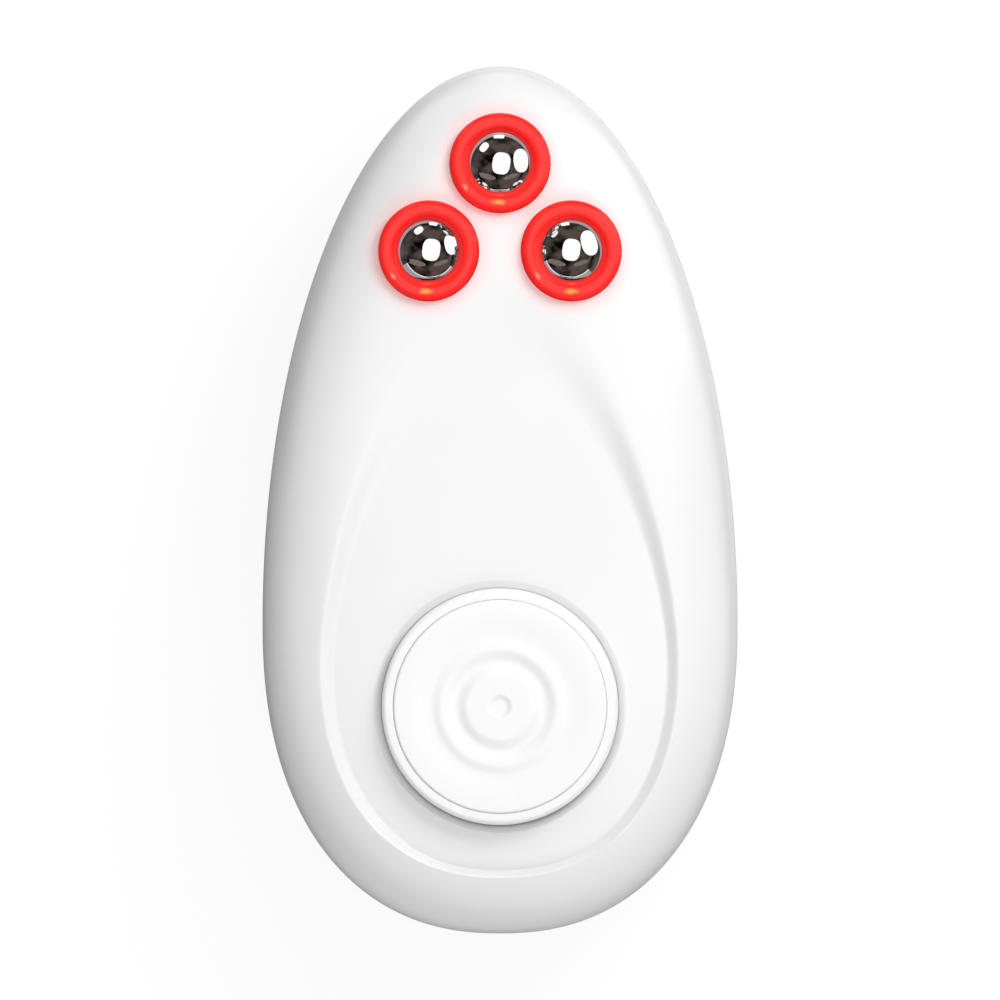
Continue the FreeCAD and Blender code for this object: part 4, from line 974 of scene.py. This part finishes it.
floorPaint, tree = newMaterial("whitePaperSweep")
share = addNode(tree, "ShaderNodeMath", {0: seenDirectly(tree), 1: floorForm["white"]},
                operation="MULTIPLY")
paper = addNode(tree, "ShaderNodeBsdfDiffuse", {"Color": colour(floorForm["paper"])})
white = addNode(tree, "ShaderNodeEmission", {"Color": (1, 1, 1, 1), "Strength": share.outputs[0]})
both = addNode(tree, "ShaderNodeAddShader", {0: paper.outputs[0], 1: white.outputs[0]})
addNode(tree, "ShaderNodeOutputMaterial", {"Surface": both.outputs[0]})
floorMesh.materials.append(floorPaint)

worldForm = {"ambient": 0.465}
world = bpy.data.worlds.new("studio")
world.use_nodes = True
world.node_tree.nodes.clear()
tree = world.node_tree
dim = addNode(tree, "ShaderNodeBackground", {"Color": (1, 1, 1, 1), "Strength": worldForm["ambient"]})
bright = addNode(tree, "ShaderNodeBackground", {"Color": (1, 1, 1, 1), "Strength": 1.0})
mixed = addNode(tree, "ShaderNodeMixShader",
                {0: seenDirectly(tree), 1: dim.outputs[0], 2: bright.outputs[0]})
addNode(tree, "ShaderNodeOutputWorld", {"Surface": mixed.outputs[0]})
scene.world = world

# Lamps: a wide key from the upper right, with weaker ones beyond the nose and the tail

lamps = {
    "key": {"from": (0.5, 0.56, 0.66), "distance": 0.55, "size": 0.23, "power": 1.34},
    "nose": {"from": (0.0, 0.85, 0.52), "distance": 1.2, "size": 0.6, "power": 2.7},
    "tail": {"from": (0.1, -0.82, 0.56), "distance": 1.2, "size": 0.8, "power": 4.0},
}
for name, lamp in lamps.items():
    data = bpy.data.lights.new(name, "AREA")
    data.size = lamp["size"]
    data.energy = lamp["power"]
    item = bpy.data.objects.new(name, data)
    heading = Vector(lamp["from"]).normalized()
    item.location = heading * lamp["distance"]
    item.rotation_mode = "QUATERNION"
    item.rotation_quaternion = heading.to_track_quat("Z", "Y")
    item.visible_camera = False
    item.visible_glossy = False
    scene.collection.objects.link(item)

# Dark studio round the balls, with the white panels that they mirror

studio = {
    "tentRadius": 1.6,
    "panelStrength": 1.25,
    "panelPoints": 40,
    "paperMargin": 250.0,
    # margin in mm of the painted floor shade round the body
    "floorShadeMargin": 16.0,
    # width in mm of the painted contact shadow round the body's outline
    "matEdge": 3.5,
    "skirtRadius": 62.0,
    "skirtHeight": 40.0,
    "skirtFrom": -40,
    "skirtTo": 205,
}
# each panel as it shows in a ball: middle and half sizes in mm, turn in degrees, squareness,
# distance in m
panels = {
    "above": ((0.15, 0.26), (1.02, 1.26), -8, 2.8, 1.2),
    "right": ((2.28, 0.82), (0.8, 1.3), 10, 2.3, 0.055),
    "back": ((-0.1, 3.35), (0.52, 0.3), 0, 6.0, 0.055),
    "leftBack": ((-1.62, 2.22), (0.54, 0.36), 46, 2.6, 0.055),
    "leftGrey": ((-1.6, -1.2), (1.15, 0.3), -15, 2.0, 1.2),
    "rightGrey": ((1.25, -1.25), (0.9, 0.24), 20, 2.0, 1.2),
}


def mirrored(x, y):
    # direction that a ball of 4 mm radius mirrors towards the camera at this place
    nx, ny = x / ballRadius, y / ballRadius
    nz = math.sqrt(max(0.0, 1 - nx * nx - ny * ny))
    return Vector((2 * nz * nx, 2 * nz * ny, 2 * nz * nz - 1))


def glossyOnly(item):
    item.visible_camera = False
    item.visible_diffuse = False
    item.visible_transmission = False
    item.visible_volume_scatter = False
    item.visible_shadow = False
    scene.collection.objects.link(item)


def glowing(name, stops, strength, size, slant=None):
    # cloth in a few tones, clouded or running along a slant
    material, tree = newMaterial(name)
    coords = addNode(tree, "ShaderNodeTexCoord").outputs["Object"]
    share = addNode(tree, "ShaderNodeTexNoise",
                    {"Vector": coords, "Scale": 1 / size, "Detail": 2.0}).outputs["Fac"]
    if slant:
        along = addNode(tree, "ShaderNodeVectorMath", {0: coords, 1: slant}, operation="DOT_PRODUCT")
        share = addNode(tree, "ShaderNodeMapRange",
                        {"Value": along.outputs["Value"], "From Min": -size,
                         "From Max": size}).outputs["Result"]
    tone = addNode(tree, "ShaderNodeValToRGB", {"Fac": share})
    setRamp(tone, stops)
    light = addNode(tree, "ShaderNodeEmission", {"Color": tone.outputs["Color"], "Strength": strength})
    addNode(tree, "ShaderNodeOutputMaterial", {"Surface": light.outputs[0]})
    return material


panelCloth = glowing("whitePanelCloth", [(0.3, "FFFFFF"), (0.7, "FBFBFA")], studio["panelStrength"], 0.3)
# dark cloth of the tent, also used for the painted contact shadow round the body
tentAndShadowCloth = glowing("darkTentAndShadowCloth", [(0.35, "0C0908"), (0.62, "5A4F4B")], 1.0, 1.1)
paperCloth = glowing("greyPaperCloth", [(0.3, "ABABAB"), (0.7, "A5A5A5")], 1.0, 0.2)
greyCloth = glowing("greyPanelCloth", [(0.3, "8A7C77"), (0.7, "74685F")], 1.0, 0.2)
skirtCloth = glowing("darkSkirtCloth", [(0.35, "0B0A0A"), (0.65, "655C58")], 1.0, 0.04)
# painted floor shade, seen only in reflections: grey towards the lower left, white towards the upper right
# where the key lamp stands
floorShadeCloth = glowing("paintedFloorShadeCloth",
                   [(0.0, "868686"), (0.25, "A6A6A6"), (0.6, "BEBEBE"), (0.9, "FFFFFF")],
                   1.0, 0.035, (0.8, 0.6, 0.0))
focus = Vector((0, 32 * mm, 26 * mm))
count = studio["panelPoints"]
for name, (middle, half, turn, power, distance) in panels.items():
    ring = []
    for i in range(count):
        angle = 2 * math.pi * i / count
        u = half[0] * math.copysign(abs(math.cos(angle)) ** (2 / power), math.cos(angle))
        v = half[1] * math.copysign(abs(math.sin(angle)) ** (2 / power), math.sin(angle))
        c, s = math.cos(math.radians(turn)), math.sin(math.radians(turn))
        x, y = middle[0] + u * c - v * s, middle[1] + u * s + v * c
        reach = min(1.0, 3.9 / max(1e-6, math.hypot(x, y)))
        ring.append(focus + mirrored(x * reach, y * reach) * distance)
    centre = focus + mirrored(*middle) * distance
    mesh = bpy.data.meshes.new(name + "Panel")
    mesh.from_pydata([tuple(p) for p in ring] + [tuple(centre)], [],
                     [(i, (i + 1) % count, count) for i in range(count)])
    mesh.materials.append(greyCloth if "Grey" in name else panelCloth)
    glossyOnly(bpy.data.objects.new(name + "Panel", mesh))
tentRadius = studio["tentRadius"] / mm
tentLine = arc((0, 0), tentRadius, 90, -2, 23)
tentLine[0] = (0.0, tentRadius)
tentMesh = lathe(tentLine, 64, False)
tentMesh.shade_smooth()
tentMesh.materials.append(tentAndShadowCloth)
glossyOnly(bpy.data.objects.new("tent", tentMesh))
# sheets seen only in reflections: an even grey paper, the painted floor shade round the body, and a dark
# painted contact shadow along its outline
for name, margin, level, cloth in (("paper", studio["paperMargin"], -0.15, paperCloth),
                                   ("mat", studio["floorShadeMargin"], -0.1, floorShadeCloth),
                                   ("matEdge", studio["matEdge"], -0.05, tentAndShadowCloth)):
    sheetLine = [(x * mm, y * mm, level * mm) for x, y in bodyEgg(-margin)]
    sheetMesh = bpy.data.meshes.new(name)
    sheetMesh.from_pydata(sheetLine, [], [tuple(range(len(sheetLine)))])
    sheetMesh.materials.append(cloth)
    glossyOnly(bpy.data.objects.new(name, sheetMesh))
skirtPoints = []
for turn in range(studio["skirtFrom"], studio["skirtTo"] + 1, 5):
    angle = math.radians(turn)
    for height in (0, studio["skirtHeight"]):
        skirtPoints.append((studio["skirtRadius"] * mm * math.cos(angle),
                            focus.y + studio["skirtRadius"] * mm * math.sin(angle), height * mm))
skirtMesh = bpy.data.meshes.new("skirt")
skirtMesh.from_pydata(skirtPoints, [],
                      [(i, i + 2, i + 3, i + 1) for i in range(0, len(skirtPoints) - 2, 2)])
skirtMesh.materials.append(skirtCloth)
glossyOnly(bpy.data.objects.new("skirt", skirtMesh))
print("studio set up")
